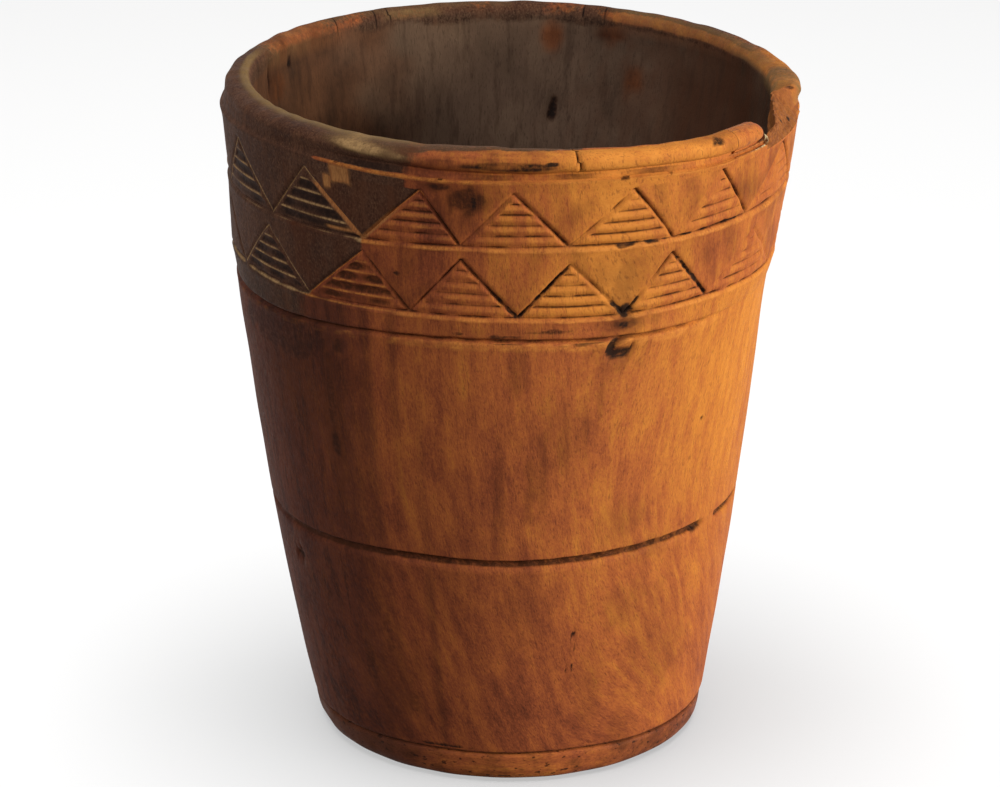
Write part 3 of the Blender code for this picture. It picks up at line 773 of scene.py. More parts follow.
# A dull olive strip along the inner edge gets narrower towards the front.
OLIVE_WIDTH = ((-34, 20), (-22, 19), (-16, 17), (-10, 15.8), (1.5, 14.3), (10, 13), (14, 11))
olive_edge = np.zeros(angle.shape)
for i, ring in enumerate(np.concatenate([lip_rings, roll_rings])):
    width = straight(side[ring], *OLIVE_WIDTH) + 0.9 * fine_blotch[ring]
    in_front = ease(-34, -24, side[ring]) * (side[ring] < 14)
    olive_edge[ring] = (1 - ease(width - 1.8, width + 1.8, i)) * in_front
film = np.maximum(film, 0.58 * olive_edge)
on_lip = np.maximum(on_lip, 0.2 * olive_edge)
film *= 1 - np.maximum(0.3 * ridge * front_left, 0.2 * worn_and_lit_patch)
# The painted highlight on the worn patch.
bright = np.maximum(bright, worn_and_lit_patch * (0.84 + 0.14 * fine_blotch))
right_end = zone_is("lip", "roll") * span(side, 81, 85, 96, 106)
on_lip = np.maximum(on_lip, right_end * (0.55 + 0.3 * fine_blotch))
film *= 1 - 0.9 * inner_corner * back_right
print("share of the rim worn bare:", round(float(on_lip[lip_rings].mean()), 2))

# %% [markdown]
# ## Flakes, stains and smoke
# In a few places the film has flaked off, black stains sit round the knot and in the cuts, and a
# brown smoke darkens soft patches. Each kind is a short list of oval spots whose edges are made
# ragged by the same fine blotches, which is quicker to adjust than a painted picture.

# %% Flakes and warm patches
# Each flake: angle, height, half width in degrees and half height in millimetres.
FLAKES = [(-34.7, 162.4, 2.2, 2.4), (-37.9, 159.9, 0.9, 1.7), (-35.5, 148.3, 3.2, 0.45)]
# Flakes down the side of a triangle: half triangle, heights where it starts and is full, strength.
SIDE_FLAKES = [(2, 160, 157.5, 0.8), (3, 157, 153, 0.75)]
INNER_PATCHES = [(170.5, 162.8, 2.6, 4), (156.5, 164.6, 3.6, 2.6), (150, 152.6, 2.6, 3.6), (-112, 160, 6, 5)]
flake = np.zeros(angle.shape)
for at_angle, at_height, half_angle, half_height in FLAKES:
    across = np.abs(turned_back(side - at_angle)) / half_angle
    up = np.abs(height - at_height) / half_height
    flake = np.maximum(flake, 1 - ease(0.75, 1.15, np.maximum(across, up) + 0.08 * fine_blotch))
flake *= zone_is("margin", "upper")
in_side = np.abs(off_side) <= 1
for number, start, full, strong in SIDE_FLAKES:
    here = zone_is("upper") & in_side & (cell == number)
    flake = np.maximum(flake, here * ease(start, full, height) * strong)
film *= 1 - flake
warm = 0.6 * ease(-165, -132, side + 8 * blotch) * (side < 0)
for spot in INNER_PATCHES:
    warm = np.maximum(warm, patch(side, height + 0.4 * fine_blotch, *spot))
print("flakes:", len(FLAKES) + len(SIDE_FLAKES))

# %% Stains and smoke
# Each spot: angle, height, half width in degrees, half height in millimetres and strength.
STAINS = [(-7.4, 158.8, 0.9, 2.6, 0.75), (-8.4, 158.8, 4, 4.2, 0.54), (-19, 9.7, 9, 0.4, 0.75),
          (24.6, 126, 3.6, 2.6, 0.5), (24.2, 122.4, 2.6, 2.2, 0.46), (80.5, 166.4, 0.8, 0.9, 0.9),
          (76, 163.6, 0.6, 0.7, 0.8), (71, 164.6, 0.5, 0.7, 0.8), (-14.2, 162.4, 2.6, 1, 0.6),
          (16.5, 121.7, 4.6, 0.4, 0.62), (0.5, 122.5, 3.4, 0.3, 0.62), (24.6, 125.8, 1.8, 1.5, 0.75),
          (-56, 116, 22, 7, 0.5), (24.4, 129.4, 1.2, 2.2, 0.85), (-42.9, 47, 0.6, 8, 0.5),
          (-39.6, 90.5, 1.3, 5, 0.52), (-39.8, 103, 1.6, 11, 0.42), (-31, 40, 1.5, 9, 0.42),
          (-38, 30, 2.5, 8, 0.42), (-26, 22, 2, 6, 0.4), (42.4, 168.3, 1.7, 1.1, 0.72),
          (7.4, 168.5, 1.25, 0.55, 0.9), (-22.6, 139.5, 0.9, 0.7, 0.8), (0, 124.7, 3.6, 0.6, 0.6),
          (9.5, 125.7, 5, 0.6, 0.6), (-9, 125.3, 1.5, 0.7, 0.6), (17.5, 38.6, 0.5, 1.1, 0.7),
          (17, 33.2, 0.5, 1.3, 0.75), (16.4, 41.2, 0.35, 0.5, 0.6)]
SMOKE = [(-8.6, 158.8, 5, 5, 1), (24.6, 125.8, 4.6, 2.8, 0.9), (-16, 168, 2, 1.2, 0.5),
         (-12, 169.4, 3, 1, 0.25), (2, 169.3, 5, 0.8, 0.35), (6.3, 88, 1.2, 9, 0.6),
         (12.3, 93, 1.4, 7, 0.6), (21, 106, 1, 6, 0.5), (3, 115, 2, 6, 0.45), (29, 72, 6, 5, 0.35),
         (-1, 80, 1.6, 16, 0.4), (24.5, 138, 3, 7, 0.6), (-14.5, 162.3, 3.2, 1.6, 0.8),
         (24, 118, 5, 5, 0.5), (25, 116.4, 3, 2.6, 0.5), (24.4, 131, 3.6, 6, 0.55), (13, 99, 8, 10, 0.3),
         (8.5, 92, 1.6, 13, 0.5), (13.5, 95, 1.3, 10, 0.55), (18, 98, 1, 7, 0.45),
         (-55, 106, 15, 15, 0.55), (32, 48, 7, 6, 0.4), (46, 30, 8, 8, 0.4), (22, 25, 4, 10, 0.35),
         (36, 63, 8, 3, 0.35), (27, 140, 6, 5, 0.45), (-40, 102, 3, 24, 0.65),
         (-39.5, 91, 2.2, 6.5, 0.95), (-33, 112, 2.5, 7, 0.35), (22, 112, 5, 6, 0.22),
         (-30, 25, 8, 12, 0.4), (-3, 150.5, 5, 6, 0.2), (20, 139, 5, 4, 0.35),
         (51.5, 139, 2.5, 3.5, 0.35), (37, 154, 3, 4.5, 0.25), (0, 126, 14, 1.6, 0.35),
         (33, 12, 6, 5, 0.3), (40, 36, 9, 16, 0.3), (125, 145, 26, 30, 0.5), (5, 52, 5, 12, 0.25),
         (-12, 56, 6, 14, 0.2), (43, 169.4, 5, 1, 0.3), (46.2, 167, 1.4, 1.6, 0.3)]
# Black filling in the sides of the lower row: half triangle, and the share of its height that is filled.
FILLED_SIDES = {5: 0.45, 6: 1, 7: 0.3, 8: 0.3, 9: 0.9}


def spotted(places, edge):
    """The strongest of some ragged oval spots at every point."""
    total = np.zeros(angle.shape)
    rough = 1 + 0.3 * fine_blotch
    for at_angle, at_height, half_angle, half_height, strong in places:
        here = patch(side, height, at_angle, at_height, half_angle * rough, half_height * rough, edge)
        total = np.maximum(total, here * strong)
    return total


streaky = unevenness(99, angle, height, 45, 3, 60)
mottled = unevenness(88, angle, height, 55, 0.5, 60)
smear = patch(side, height, -1, 167.9 - 0.02 * side, 9.5, 1.25, 0.4) * zone_is("roll")
reddened = zone_is("roll") * span(side, -24, -19, -2, 16)
under_ledge = zone_is("margin") * span(side, -24, -18, 4, 22)
panel = zone_is("upper", "lower", "between") * ease(0, 3, off_side) * (side > -50)
panel_dark = straight(side, (-50, 0.25), (10, 0.15), (18, 0.05), (28, 0.1), (40, 0.22), (60, 0.25),
                      (100, 0.2))
smoke = spotted(SMOKE, 0.8)
for where, amount in ((smear, 0.8 + 0.2 * streaky), (reddened, 0.34 + 0.4 * streaky), (knot, 0.55),
                      (warm_left, 0.36 + 0.5 * fine_blotch), (under_ledge, 0.35 + 0.3 * mottled),
                      (panel, panel_dark + 0.12 * blotch + 0.28 * mottled)):
    smoke = np.maximum(smoke, where * np.clip(amount, 0, 1))

stain = np.maximum(spotted(STAINS, 0.5), 0.78 * knot_hole)
stain = np.maximum(stain, smear * np.clip(0.56 + 0.14 * ease(-6, 5, side) + 0.12 * streaky, 0, 0.9))
risen = (height - lower_base) / (lower_top - lower_base)
broken = 0.62 + 0.3 * unevenness(93, angle, height, 170, 2.5)
for number, top in FILLED_SIDES.items():
    here = zone_is("lower") & in_side & (cell == number)
    stain = np.maximum(stain, here * ease(-0.05, 0, risen) * ease(top + 0.05, top - 0.05, risen) * broken)
base_ring = first_upper + STEPS
base_stain = span(side[base_ring], 16, 22, 50, 56)
base_stain *= 0.5 + 0.5 * unevenness(94, angle[base_ring], 0, 120, 0)
stain[base_ring] = np.maximum(stain[base_ring], base_stain)
stain = np.maximum(stain * outside, np.maximum(chipped * 0.6, inner_dent * 0.8))
print("stains:", len(STAINS), "smoky patches:", len(SMOKE))

# %% [markdown]
# ## Pale wood, painted light and the way of the grain
# The wood is paler and more orange towards the right and higher up, partly its own tone and partly
# painted light from the right, and the lip keeps the colour of the hollow on its inner corner. The
# grain pattern is a solid block of wood that the finish looks up by place, so leaning and twisting
# those places makes the grain lean and swirl without touching the shape.

# %% Pale wood and painted light
PALE_AND_LIT_ROUND = ((-180, 0.2), (-60, 0), (-30, 0.05), (-20, 0.22), (-10, 0.18), (10, 0.18), (20, 0.34), (32, 0.66),
             (58, 0.85), (100, 0.75), (150, 0.35), (180, 0.2))
PALE_AND_LIT_UP = ((20, 0.22), (45, 0.36), (65, 0.62), (105, 1))
PALE_AND_LIT_ON_BAND = ((-30, 0), (-8, 0.14), (8, 0.55), (18, 0.88), (28, 0.88), (38, 0.62), (46, 0.4), (62, 0.4),
               (100, 0.42))
on_band = zone_is("roll", "cove", "ledge", "margin", "upper", "between", "lower") & (np.abs(side) < 100)
sunned = straight(side, *PALE_AND_LIT_ROUND) * straight(height, *PALE_AND_LIT_UP)
# On the band the tone follows its own curve, and the roll gets a little more as a painted highlight along it.
sunned = np.where(on_band, straight(side, *PALE_AND_LIT_ON_BAND) + 0.15 * zone_is("roll"), sunned)
in_hollow = zone_is("inside") * np.ones(COLUMNS)
in_hollow[lip_rings[:4]] = np.array([1, 0.9, 0.6, 0.25])[:, None]
warm_corner = span(side, 112, 126, 153, 163) + span(side, -143, -136, -118, -108)
rising = np.zeros(angle.shape)
rising[lip_rings] = np.clip(0.2 + 0.3 * np.arange(len(lip_rings)), 0, 1)[:, None]
in_hollow *= 1 - warm_corner * rising
in_hollow *= 1 - scar
gloom = np.where(zone_is("lip"), gloom * in_hollow, gloom)
on_lip *= 1 - scar
film *= 1 - scar
print("share of the skin under dark film:", round(float(film.mean()), 3))

# %% Way of the grain, and storing it all
# The grain leans to the right low at the front and swirls a little everywhere.
twist = -0.002 * np.maximum(112 - height, 0) ** 2 * span(side, -70, -20, 120, 175)
twist -= 0.18 * np.clip(height - 78, 0, 45) * span(side, 12, 34, 80, 110)
twist -= 0.3 * np.clip(60 - height, 0, 50) * span(side, 12, 48, 95, 140)
twist += 2.5 * unevenness(95, angle, height, 3, 0.02) + 0.8 * unevenness(96, angle, height, 6, 0.06)
grain_turn = np.radians(angle + twist)
grain = np.stack([radius * np.sin(grain_turn), -radius * np.cos(grain_turn), height], axis=-1) * MM


def store(item, **readings):
    """Keep numbers for every point on the mesh, for the finish to read."""
    for name, values in readings.items():
        kept = item.data.attributes.new(name, "FLOAT", "POINT")
        kept.data.foreach_set("value", np.clip(values, 0, 1).astype(np.float32).ravel())


def store_places(item, places):
    """Keep the place in the wood of every point, which the grain patterns follow."""
    kept = item.data.attributes.new("grain", "FLOAT_VECTOR", "POINT")
    kept.data.foreach_set("vector", places.astype(np.float32).ravel())


store(wall, dirt=dirt, bright=bright, film=film, stain=stain, hollow=in_hollow, lip=on_lip, scar=scar,
      flake=flake, warm=warm, smoke=smoke, gloom=gloom, sunned=sunned)
store_places(wall, grain)
print("stored on the wall:", [kept.name for kept in wall.data.attributes if kept.domain == "POINT"])

# %% [markdown]
# ## A palette for the finishes
# A material is a small net of nodes. These helpers add one node each, so that a finish reads
# like a recipe: a grain, a ramp of colours, a film over it, dirt in the cuts. All patterns use
# places in metres, stretched along the height, which is the way the grain runs.

# %% Node helpers


class Recipe:
    """Adds nodes to one material, a line at a time."""

    def __init__(self, name, stored_place=""):
        self.material = bpy.data.materials.new(name)
        self.material.use_nodes = True
        self.tree = self.material.node_tree
        self.shader = self.tree.nodes["Principled BSDF"]
        self.place = self.add("TexCoord", {})["Object"]
        if stored_place:
            self.place = self.reading(stored_place, "Vector")

    def put(self, socket, value):
        """Link a socket to another node's output, or set it to a number or colour."""
        if isinstance(value, bpy.types.NodeSocket):
            self.tree.links.new(value, socket)
        elif isinstance(value, tuple) and len(value) == 3 and socket.type == "RGBA":
            socket.default_value = (*value, 1)
        else:
            socket.default_value = value

    def add(self, kind, inputs, **settings):
        """Add a node with its settings and inputs, and hand over its outputs."""
        node = self.tree.nodes.new("ShaderNode" + kind)
        for name, value in settings.items():
            setattr(node, name, value)
        for socket, value in inputs.items():
            self.put(node.inputs[socket], value)
        return node.outputs

    def reading(self, name, output="Fac"):
        """A number stored on the mesh, or a place."""
        return self.add("Attribute", {}, attribute_name=name)[output]

    def sums(self, how, first, second=0, third=0):
        """Arithmetic on two or three values, kept between 0 and 1."""
        return self.add("Math", {0: first, 1: second, 2: third}, operation=how, use_clamp=True)[0]

    def times(self, first, second):
        """One value scaled by another."""
        return self.sums("MULTIPLY", first, second)

    def cloud(self, scale, detail, rough, place=None):
        """Smooth noise between 0 and 1, the same in all directions of a place."""
        inputs = {"Scale": scale, "Detail": detail, "Roughness": rough}
        inputs["Vector"] = self.place if place is None else place
        return self.add("TexNoise", inputs)[0]

    def grained(self, across, along, detail, rough):
        """Smooth noise between 0 and 1, scaled across and along the grain."""
        place = self.add("Mapping", {"Scale": (across, across, along), "Vector": self.place})[0]
        return self.cloud(1, detail, rough, place)

    def ramp(self, value, *stops):
        """Colours or greys set along a value."""
        node = self.tree.nodes.new("ShaderNodeValToRGB")
        band = node.color_ramp
        while len(band.elements) < len(stops):
            band.elements.new(0.5)
        for element, (at, colour) in zip(band.elements, stops):
            element.position = at
            element.color = (*colour, 1) if isinstance(colour, tuple) else (colour, colour, colour, 1)
        self.put(node.inputs[0], value)
        return node.outputs[0]

    def mix(self, share, first, second):
        """Two colours mixed by a share."""
        return self.add("Mix", {0: share, 6: first, 7: second}, data_type="RGBA")[2]

    def relief(self, value, strength, distance, below=None):
        """A fine bump on top of the modelled shape, or on top of another bump."""
        inputs = {"Height": value, "Strength": strength, "Distance": distance}
        if below is not None:
            inputs["Normal"] = below
        return self.add("Bump", inputs)[0]

    def finished(self, colour, roughness, normal, shine=0.5):
        """Hand the colour, roughness, relief and shine to the shader."""
        for name, value in (("Base Color", colour), ("Roughness", roughness), ("Normal", normal),
                            ("Specular IOR Level", shine)):
            self.put(self.shader.inputs[name], value)
        return self.material


print("recipe steps:", [step for step in vars(Recipe) if not step.startswith("_")])

# %% [markdown]
# ## The carved wood
# The wood is a warm red-brown with short dark flecks along the grain. Bare and handled places
# are orange, the hollow has gone grey-brown, the top of the lip is worn to tan, and the dark film
# at the left hides the grain until a cut or a flake goes through it. The finish is mixed in the
# order in which it came about: wood first, then grime, then wear, then damage and stains.

# %% Bare wood
DEEP, MIDDLE, WARM = (0.085, 0.025, 0.016), (0.27, 0.070, 0.030), (0.42, 0.119, 0.037)
GLOW, PALE = (0.58, 0.210, 0.041), (0.70, 0.280, 0.056)
FILM, SOOT, TAN = (0.050, 0.026, 0.018), (0.014, 0.009, 0.008), (0.34, 0.205, 0.080)


def grain_of(recipe):
    """Colour of the bare wood, with the fine patterns that the relief and the grime also use."""
    smudge = recipe.grained(48, 14, 4, 0.62)
    streak = recipe.grained(420, 24, 3, 0.6)
    mottle = recipe.grained(300, 130, 4, 0.6)
    fibre = recipe.grained(3000, 420, 3, 0.65)
    grit = recipe.grained(2300, 1300, 3, 0.7)
    tone = recipe.times(streak, 0.23)
    # The stored pale share lifts the tone: partly the wood's own colour, partly painted light.
    for pattern, share in ((smudge, 0.26), (mottle, 0.17), (fibre, 0.12), (grit, 0.18),
                           (recipe.reading("sunned"), 0.20)):
        tone = recipe.sums("MULTIPLY_ADD", pattern, share, tone)
    wood = recipe.ramp(tone, (0.36, DEEP), (0.46, MIDDLE), (0.54, WARM), (0.65, GLOW), (0.78, PALE))
    dark_fleck = recipe.ramp(recipe.grained(3300, 560, 2, 0.5), (0.55, 0), (0.70, 1))
    wood = recipe.mix(recipe.times(dark_fleck, 0.4), wood, DEEP)
    return wood, fibre, dark_fleck, grit


print("wood runs from", DEEP, "to", PALE)


# %% Carved wood
def carved_wood():
    """The finish of the wall."""
    recipe = Recipe("carved_wood", "grain")
    mix, ramp, times, reading = recipe.mix, recipe.ramp, recipe.times, recipe.reading
    wood, fibre, fleck, grit = grain_of(recipe)
    cloud = recipe.cloud(900, 4, 0.65)
    wide = recipe.grained(95, 60, 5, 0.65)
    veil = recipe.grained(420, 46, 4, 0.65)

    # The grey-brown hollow with its painted shade, and the grease on the body.
    grey = ramp(wide, (0.32, (0.118, 0.074, 0.050)), (0.50, (0.146, 0.090, 0.061)),
                (0.66, (0.176, 0.112, 0.074)))
    red = ramp(wide, (0.32, (0.075, 0.026, 0.013)), (0.60, (0.230, 0.080, 0.034)))
    grey = mix(reading("warm"), grey, red)
    # Painted shade darkens the hollow.
    grey = mix(times(reading("gloom"), reading("hollow")), grey, (0.034, 0.017, 0.010))
    grey = mix(times(fleck, 0.35), grey, (0.024, 0.016, 0.013))
    grey = mix(ramp(veil, (0.36, 0.4), (0.50, 0)), grey, (0.040, 0.021, 0.015))
    gloom = times(reading("gloom"), ramp(fibre, (0.30, 1), (0.70, 0.72)))
    gloomy = ramp(wide, (0.35, (0.042, 0.015, 0.012)), (0.65, (0.112, 0.036, 0.022)))
    gloomy = mix(ramp(veil, (0.38, 0.75), (0.50, 0)), gloomy, (0.022, 0.011, 0.010))
    wood = mix(gloom, wood, gloomy)
    wood = mix(reading("hollow"), wood, grey)

    # The dark film with its broken edge, the worn lip with its painted glints, and the smoke.
    broken_edge = recipe.sums("MULTIPLY_ADD", cloud, 0.5, recipe.sums("SUBTRACT", reading("film"), 0.25))
    film = ramp(broken_edge, (0.34, 0), (0.56, 1))
    dark = mix(ramp(wide, (0.35, 0), (0.65, 1)), FILM, (0.088, 0.046, 0.030))
    dark = mix(times(fleck, 0.55), dark, (0.020, 0.010, 0.008))
    dark = mix(ramp(grit, (0.36, 0.75), (0.50, 0)), dark, (0.016, 0.009, 0.007))
    dark = mix(ramp(grit, (0.54, 0), (0.70, 0.6)), dark, (0.180, 0.104, 0.060))
    dark = mix(ramp(veil, (0.50, 0), (0.68, 0.6)), dark, (0.128, 0.062, 0.037))
    wood = mix(times(film, 0.93), wood, dark)
    worn = times(reading("lip"), ramp(cloud, (0.30, 0.55), (0.55, 1)))
    wood = mix(times(worn, 0.95), wood, mix(fibre, (0.120, 0.078, 0.038), TAN))
    smoke = times(reading("smoke"), ramp(veil, (0.32, 0.5), (0.62, 1)))
    wood = mix(smoke, wood, (0.085, 0.026, 0.012))

    # Bright edges, worn and painted highlights, dirt and painted shade in the cuts, flakes, the split wood of
    # the scar and the stains.
    lines = ramp(reading("bright"), (0.30, 0), (0.85, 1))
    shine = times(lines, ramp(cloud, (0.30, 0.25), (0.58, 1)))
    shine = times(shine, ramp(grit, (0.34, 0.45), (0.52, 1)))
    edge = mix(film, (0.66, 0.250, 0.056), (0.62, 0.380, 0.170))
    wood = mix(times(shine, 0.8), wood, edge)
    cut = ramp(reading("dirt"), (0.32, 0), (0.80, 1))
    grime_and_shade = times(cut, ramp(cloud, (0.25, 0.45), (0.55, 0.95)))
    wood = mix(grime_and_shade, wood, mix(film, (0.050, 0.017, 0.008), (0.018, 0.010, 0.008)))
    bare = ramp(fibre, (0.3, (0.26, 0.105, 0.038)), (0.6, (0.48, 0.215, 0.075)))
    wood = mix(reading("flake"), wood, bare)
    split = ramp(cloud, (0.3, (0.07, 0.024, 0.010)), (0.65, (0.28, 0.104, 0.036)))
    split = mix(ramp(grit, (0.36, 0.7), (0.48, 0)), split, DEEP)
    wood = mix(times(reading("scar"), 0.8), wood, split)
    ragged = times(reading("stain"), recipe.sums("MULTIPLY_ADD", cloud, 1.3, 0.25))
    wood = mix(ramp(ragged, (0.28, 0), (0.66, 0.95)), wood, SOOT)
    fibres = recipe.relief(fibre, 0.15, 0.0002)
    pores = recipe.relief(recipe.sums("SUBTRACT", 1, fleck), 0.2, 0.0002, fibres)
    rough = ramp(cloud, (0.3, 0.5), (0.7, 0.7))
    return recipe.finished(wood, rough, recipe.relief(cloud, 0.25, 0.0004, pores), 0.03)


wall.data.materials.append(carved_wood())
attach(wall, "root")
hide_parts("beaker_wall")
print("finish on", wall.name)

# %% [markdown]
# ## The base
# A separate disc closes the bottom: a foot flange that shows below the scored seam, and a plug
# inside. Standing has blotched it darker than the wall. It is round enough to be spun from an
# outline, and the same joining of rings serves the smaller pieces below.

# %% Turned pieces
BASE_COLUMNS = 240
base_spread = np.arange(BASE_COLUMNS) * 360 / BASE_COLUMNS


def tube_faces(rows, size, first=0, looped=False):
    """Faces between rows of points; the last row joins the first, or both ends are closed."""
    faces = []
    for i in range(rows if looped else rows - 1):
        here = first + i * size
        there = first + (i + 1) % rows * size
        for k in range(size):
            n = (k + 1) % size
            faces.append((there + k, there + n, here + n, here + k))
    if not looped:
        faces.append(list(range(first, first + size)))
        faces.append(list(reversed(range(first + (rows - 1) * size, first + rows * size))))
    return faces


def turned_piece(name, outline, looped):
    """Spin an outline of (radius, height) round the axis; each of the two may differ round the ring."""
    spin = np.radians(base_spread)
    corners = []
    for ring_radius, ring_height in outline:
        ring_height = ring_height + 0 * spin
        lean_here = flowing(ring_height, LEAN_HEIGHTS, LEAN)
        ring = [ring_radius * np.sin(spin) + lean_here, -ring_radius * np.cos(spin), ring_height]
        corners += (np.stack(ring, axis=-1) * MM).tolist()
    return skin_object(name, corners, tube_faces(len(outline), BASE_COLUMNS, 0, looped))


FLOOR_RADII = (4, 12, 20, 28, 36, 41.2)
PLUG_TOP, PLUG_RADIUS = 15.5, 41.8
base_angle = turned_back(base_spread)
base_seam = round_the_rim(base_angle, SEAM) - 0.35
wobble = 0.12 * unevenness(101, base_angle, 0, 24, 0)
base_outline = [(r, PLUG_TOP + 0.1 * unevenness(102, base_angle, r, 12, 0.3)) for r in FLOOR_RADII]
base_outline += [(PLUG_RADIUS, PLUG_TOP - 0.4), (PLUG_RADIUS, base_seam), (49.2, base_seam)]
for foot_radius, foot_height in ((50, base_seam - 0.15), (50.35, base_seam - 0.5), (50.2, base_seam - 1.6),
                                 (49.9, 3.6), (49.6, 2.5), (49, 1.3), (48.1, 0.5), (47.2, 0.1)):
    base_outline.append((foot_radius + wobble, foot_height))
base_outline += [(46, 0), (30, 0), (4, 0)]
base = turned_piece("foot_and_plug", base_outline, False)
print("base faces:", len(base.data.polygons))


# %% Blotched base wood
def base_wood():
    """The finish of the base: the wall's wood, darker and blotched."""
    recipe = Recipe("base_wood", "grain")
    mix, ramp = recipe.mix, recipe.ramp
    wood, fibre, _, _ = grain_of(recipe)
    gloomy = ramp(fibre, (0.35, (0.050, 0.020, 0.014)), (0.65, (0.110, 0.038, 0.020)))
    wood = mix(recipe.reading("gloom"), wood, gloomy)
    blot = recipe.grained(260, 160, 4, 0.65)
    wood = mix(ramp(blot, (0.46, 0), (0.66, 0.6)), wood, (0.075, 0.026, 0.012))
    speck = recipe.grained(900, 500, 2, 0.5)
    wood = mix(ramp(speck, (0.61, 0), (0.68, 0.85)), wood, (0.030, 0.012, 0.008))
    blotched = recipe.relief(blot, 0.2, 0.0006, recipe.relief(fibre, 0.15, 0.0003))
    return recipe.finished(wood, ramp(blot, (0.3, 0.45), (0.7, 0.62)), blotched, 0.04)


plug_points = (len(FLOOR_RADII) + 2) * BASE_COLUMNS
base_around = np.tile(base_angle, len(base_outline))
foot_gloom = 0.85 * span(base_around, -175, -120, -38, -14) + 0.4 * span(base_around, 18, 40, 110, 160)
foot_gloom[:plug_points] = 0.95
store(base, gloom=foot_gloom, sunned=0.14 * span(base_around, -30, -12, 8, 34))
base_places = np.array([corner.co for corner in base.data.vertices])
# The grain of the disc lies level, so its places are turned over.
store_places(base, base_places[:, [1, 2, 0]])
base.data.materials.append(base_wood())
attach(base, "root")
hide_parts("base_plug")
print("finish on", base.name)

# %% [markdown]
# ## The sealing pitch
# Where the plug meets the wall inside, the corner is sealed with a bead of dark pitch pressed in
# by hand, so its width and height waver.

# %% Pitch bead
PITCH_STEPS, PITCH_GAP = 8, 0.35
PITCH_FLOOR, PITCH_WALL, PITCH_WIDTH, PITCH_RISE = 15.8, 41.75, 3.8, 3.6
pitch_edge = 0.25 * unevenness(111, base_angle, 0, 30, 0)
pitch_outline = []
for bow in np.linspace(0, math.pi / 2, PITCH_STEPS):
    toe = PITCH_WALL - PITCH_WIDTH * math.cos(bow) ** 1.6
    pitch_outline.append((toe + 0.6 * pitch_edge * math.cos(bow),
                          PITCH_FLOOR + PITCH_RISE * math.sin(bow) ** 3 + pitch_edge * math.sin(bow)))
pitch_outline.append((inner_radius(19.3) - PITCH_GAP, PITCH_FLOOR + PITCH_RISE + 0.1 + pitch_edge))
pitch_outline.append((inner_radius(15.9) - PITCH_GAP, PITCH_FLOOR))
pitch = turned_piece("pitch_bead", pitch_outline[::-1], True)


def dark_pitch():
    """Dull black pitch with a fine crazed skin."""
    recipe = Recipe("dark_pitch")
    grit = recipe.cloud(700, 4, 0.6)
    black = recipe.ramp(grit, (0.3, (0.012, 0.009, 0.008)), (0.7, (0.034, 0.023, 0.017)))
    rough = recipe.ramp(grit, (0.3, 0.45), (0.7, 0.75))
    return recipe.finished(black, rough, recipe.relief(grit, 0.4, 0.0005))


pitch.data.materials.append(dark_pitch())
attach(pitch, "root")
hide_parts("seam_pitch")
print("pitch faces:", len(pitch.data.polygons))

# %% [markdown]
# ## The mended piece of the rim
# One length of the roll was glued back. It has the same section as the roll beside it, a crack at
# its left end and a free right end that years of drinking have rounded.

# %% Rim fragment
FRAGMENT_STEPS = 30
# The free end is drawn in over so many degrees, towards one radius and one height above its foot.
ROUNDED_END, END_RADIUS, END_LIFT, PULL_IN, PULL_DOWN = 2.2, 69.0, 1.8, 0.42, 0.5
UNDERSIDE = (69.4, 67.4)
SHARP_FRAGMENT = math.radians(50)
fragment_angles = np.linspace(roll_end + 0.07, MEND_END, FRAGMENT_STEPS)


def at_rim(place, values):
    """The value of a curve of the upper columns at one angle."""
    return np.interp(place, upper_angles, values)


def rim_point(place, out, up):
    """A point near the rim in metres, from its angle, radius and height."""
    spin = math.radians(place)
    return (out * math.sin(spin) + LEAN[-1]) * MM, -out * math.cos(spin) * MM, up * MM


fragment_points = []
for place in fragment_angles:
    fragment_foot = at_rim(place, seat_level) + MEND_RISE
    ring_r = np.array([at_rim(place, rings[k][2]) for k in mended])
    ring_z = np.array([at_rim(place, rings[k][3]) for k in mended])
    ring_r = np.append(ring_r, [*UNDERSIDE, ring_r[0] + 0.1])
    ring_z = np.append(np.maximum(ring_z, fragment_foot), [fragment_foot] * 3)
    left = min(1.0, (MEND_END - place) / ROUNDED_END)
    pull = 1 - math.sqrt(1 - (1 - left) ** 2)
    ring_r = ring_r + (END_RADIUS - ring_r) * PULL_IN * pull
    lifted = ring_z + (fragment_foot + END_LIFT - ring_z) * PULL_DOWN * pull
    ring_z = np.where(ring_z > fragment_foot + 0.01, lifted, ring_z)
    rough = 0.03 * unevenness(121, place, ring_z, 90, 1.2) + hand_marks(place, ring_z)
    fragment_points += [rim_point(place, r, z) for r, z in zip(ring_r + rough, ring_z)]
ring_size = len(ring_r)
fragment = skin_object("mended_rim", fragment_points, tube_faces(FRAGMENT_STEPS, ring_size))
fragment.data.set_sharp_from_angle(angle=SHARP_FRAGMENT)
print("fragment faces:", len(fragment.data.polygons))


# %% Mended wood
def mended_wood():
    """The fragment's finish: the same wood, polished by handling."""
    recipe = Recipe("mended_wood")
    mix, ramp = recipe.mix, recipe.ramp
    wood, fibre, _, _ = grain_of(recipe)
    cloud = recipe.cloud(800, 4, 0.65)
    wood = mix(ramp(cloud, (0.31, 0.7), (0.43, 0)), wood, (0.090, 0.030, 0.014))
    grime_and_shade = ramp(recipe.reading("dirt"), (0.32, 0), (0.80, 1))
    wood = mix(recipe.times(grime_and_shade, 0.8), wood, (0.050, 0.017, 0.008))
    polished = recipe.relief(cloud, 0.3, 0.0004, recipe.relief(fibre, 0.15, 0.0003))
    return recipe.finished(wood, ramp(cloud, (0.3, 0.38), (0.7, 0.55)), polished, 0.04)


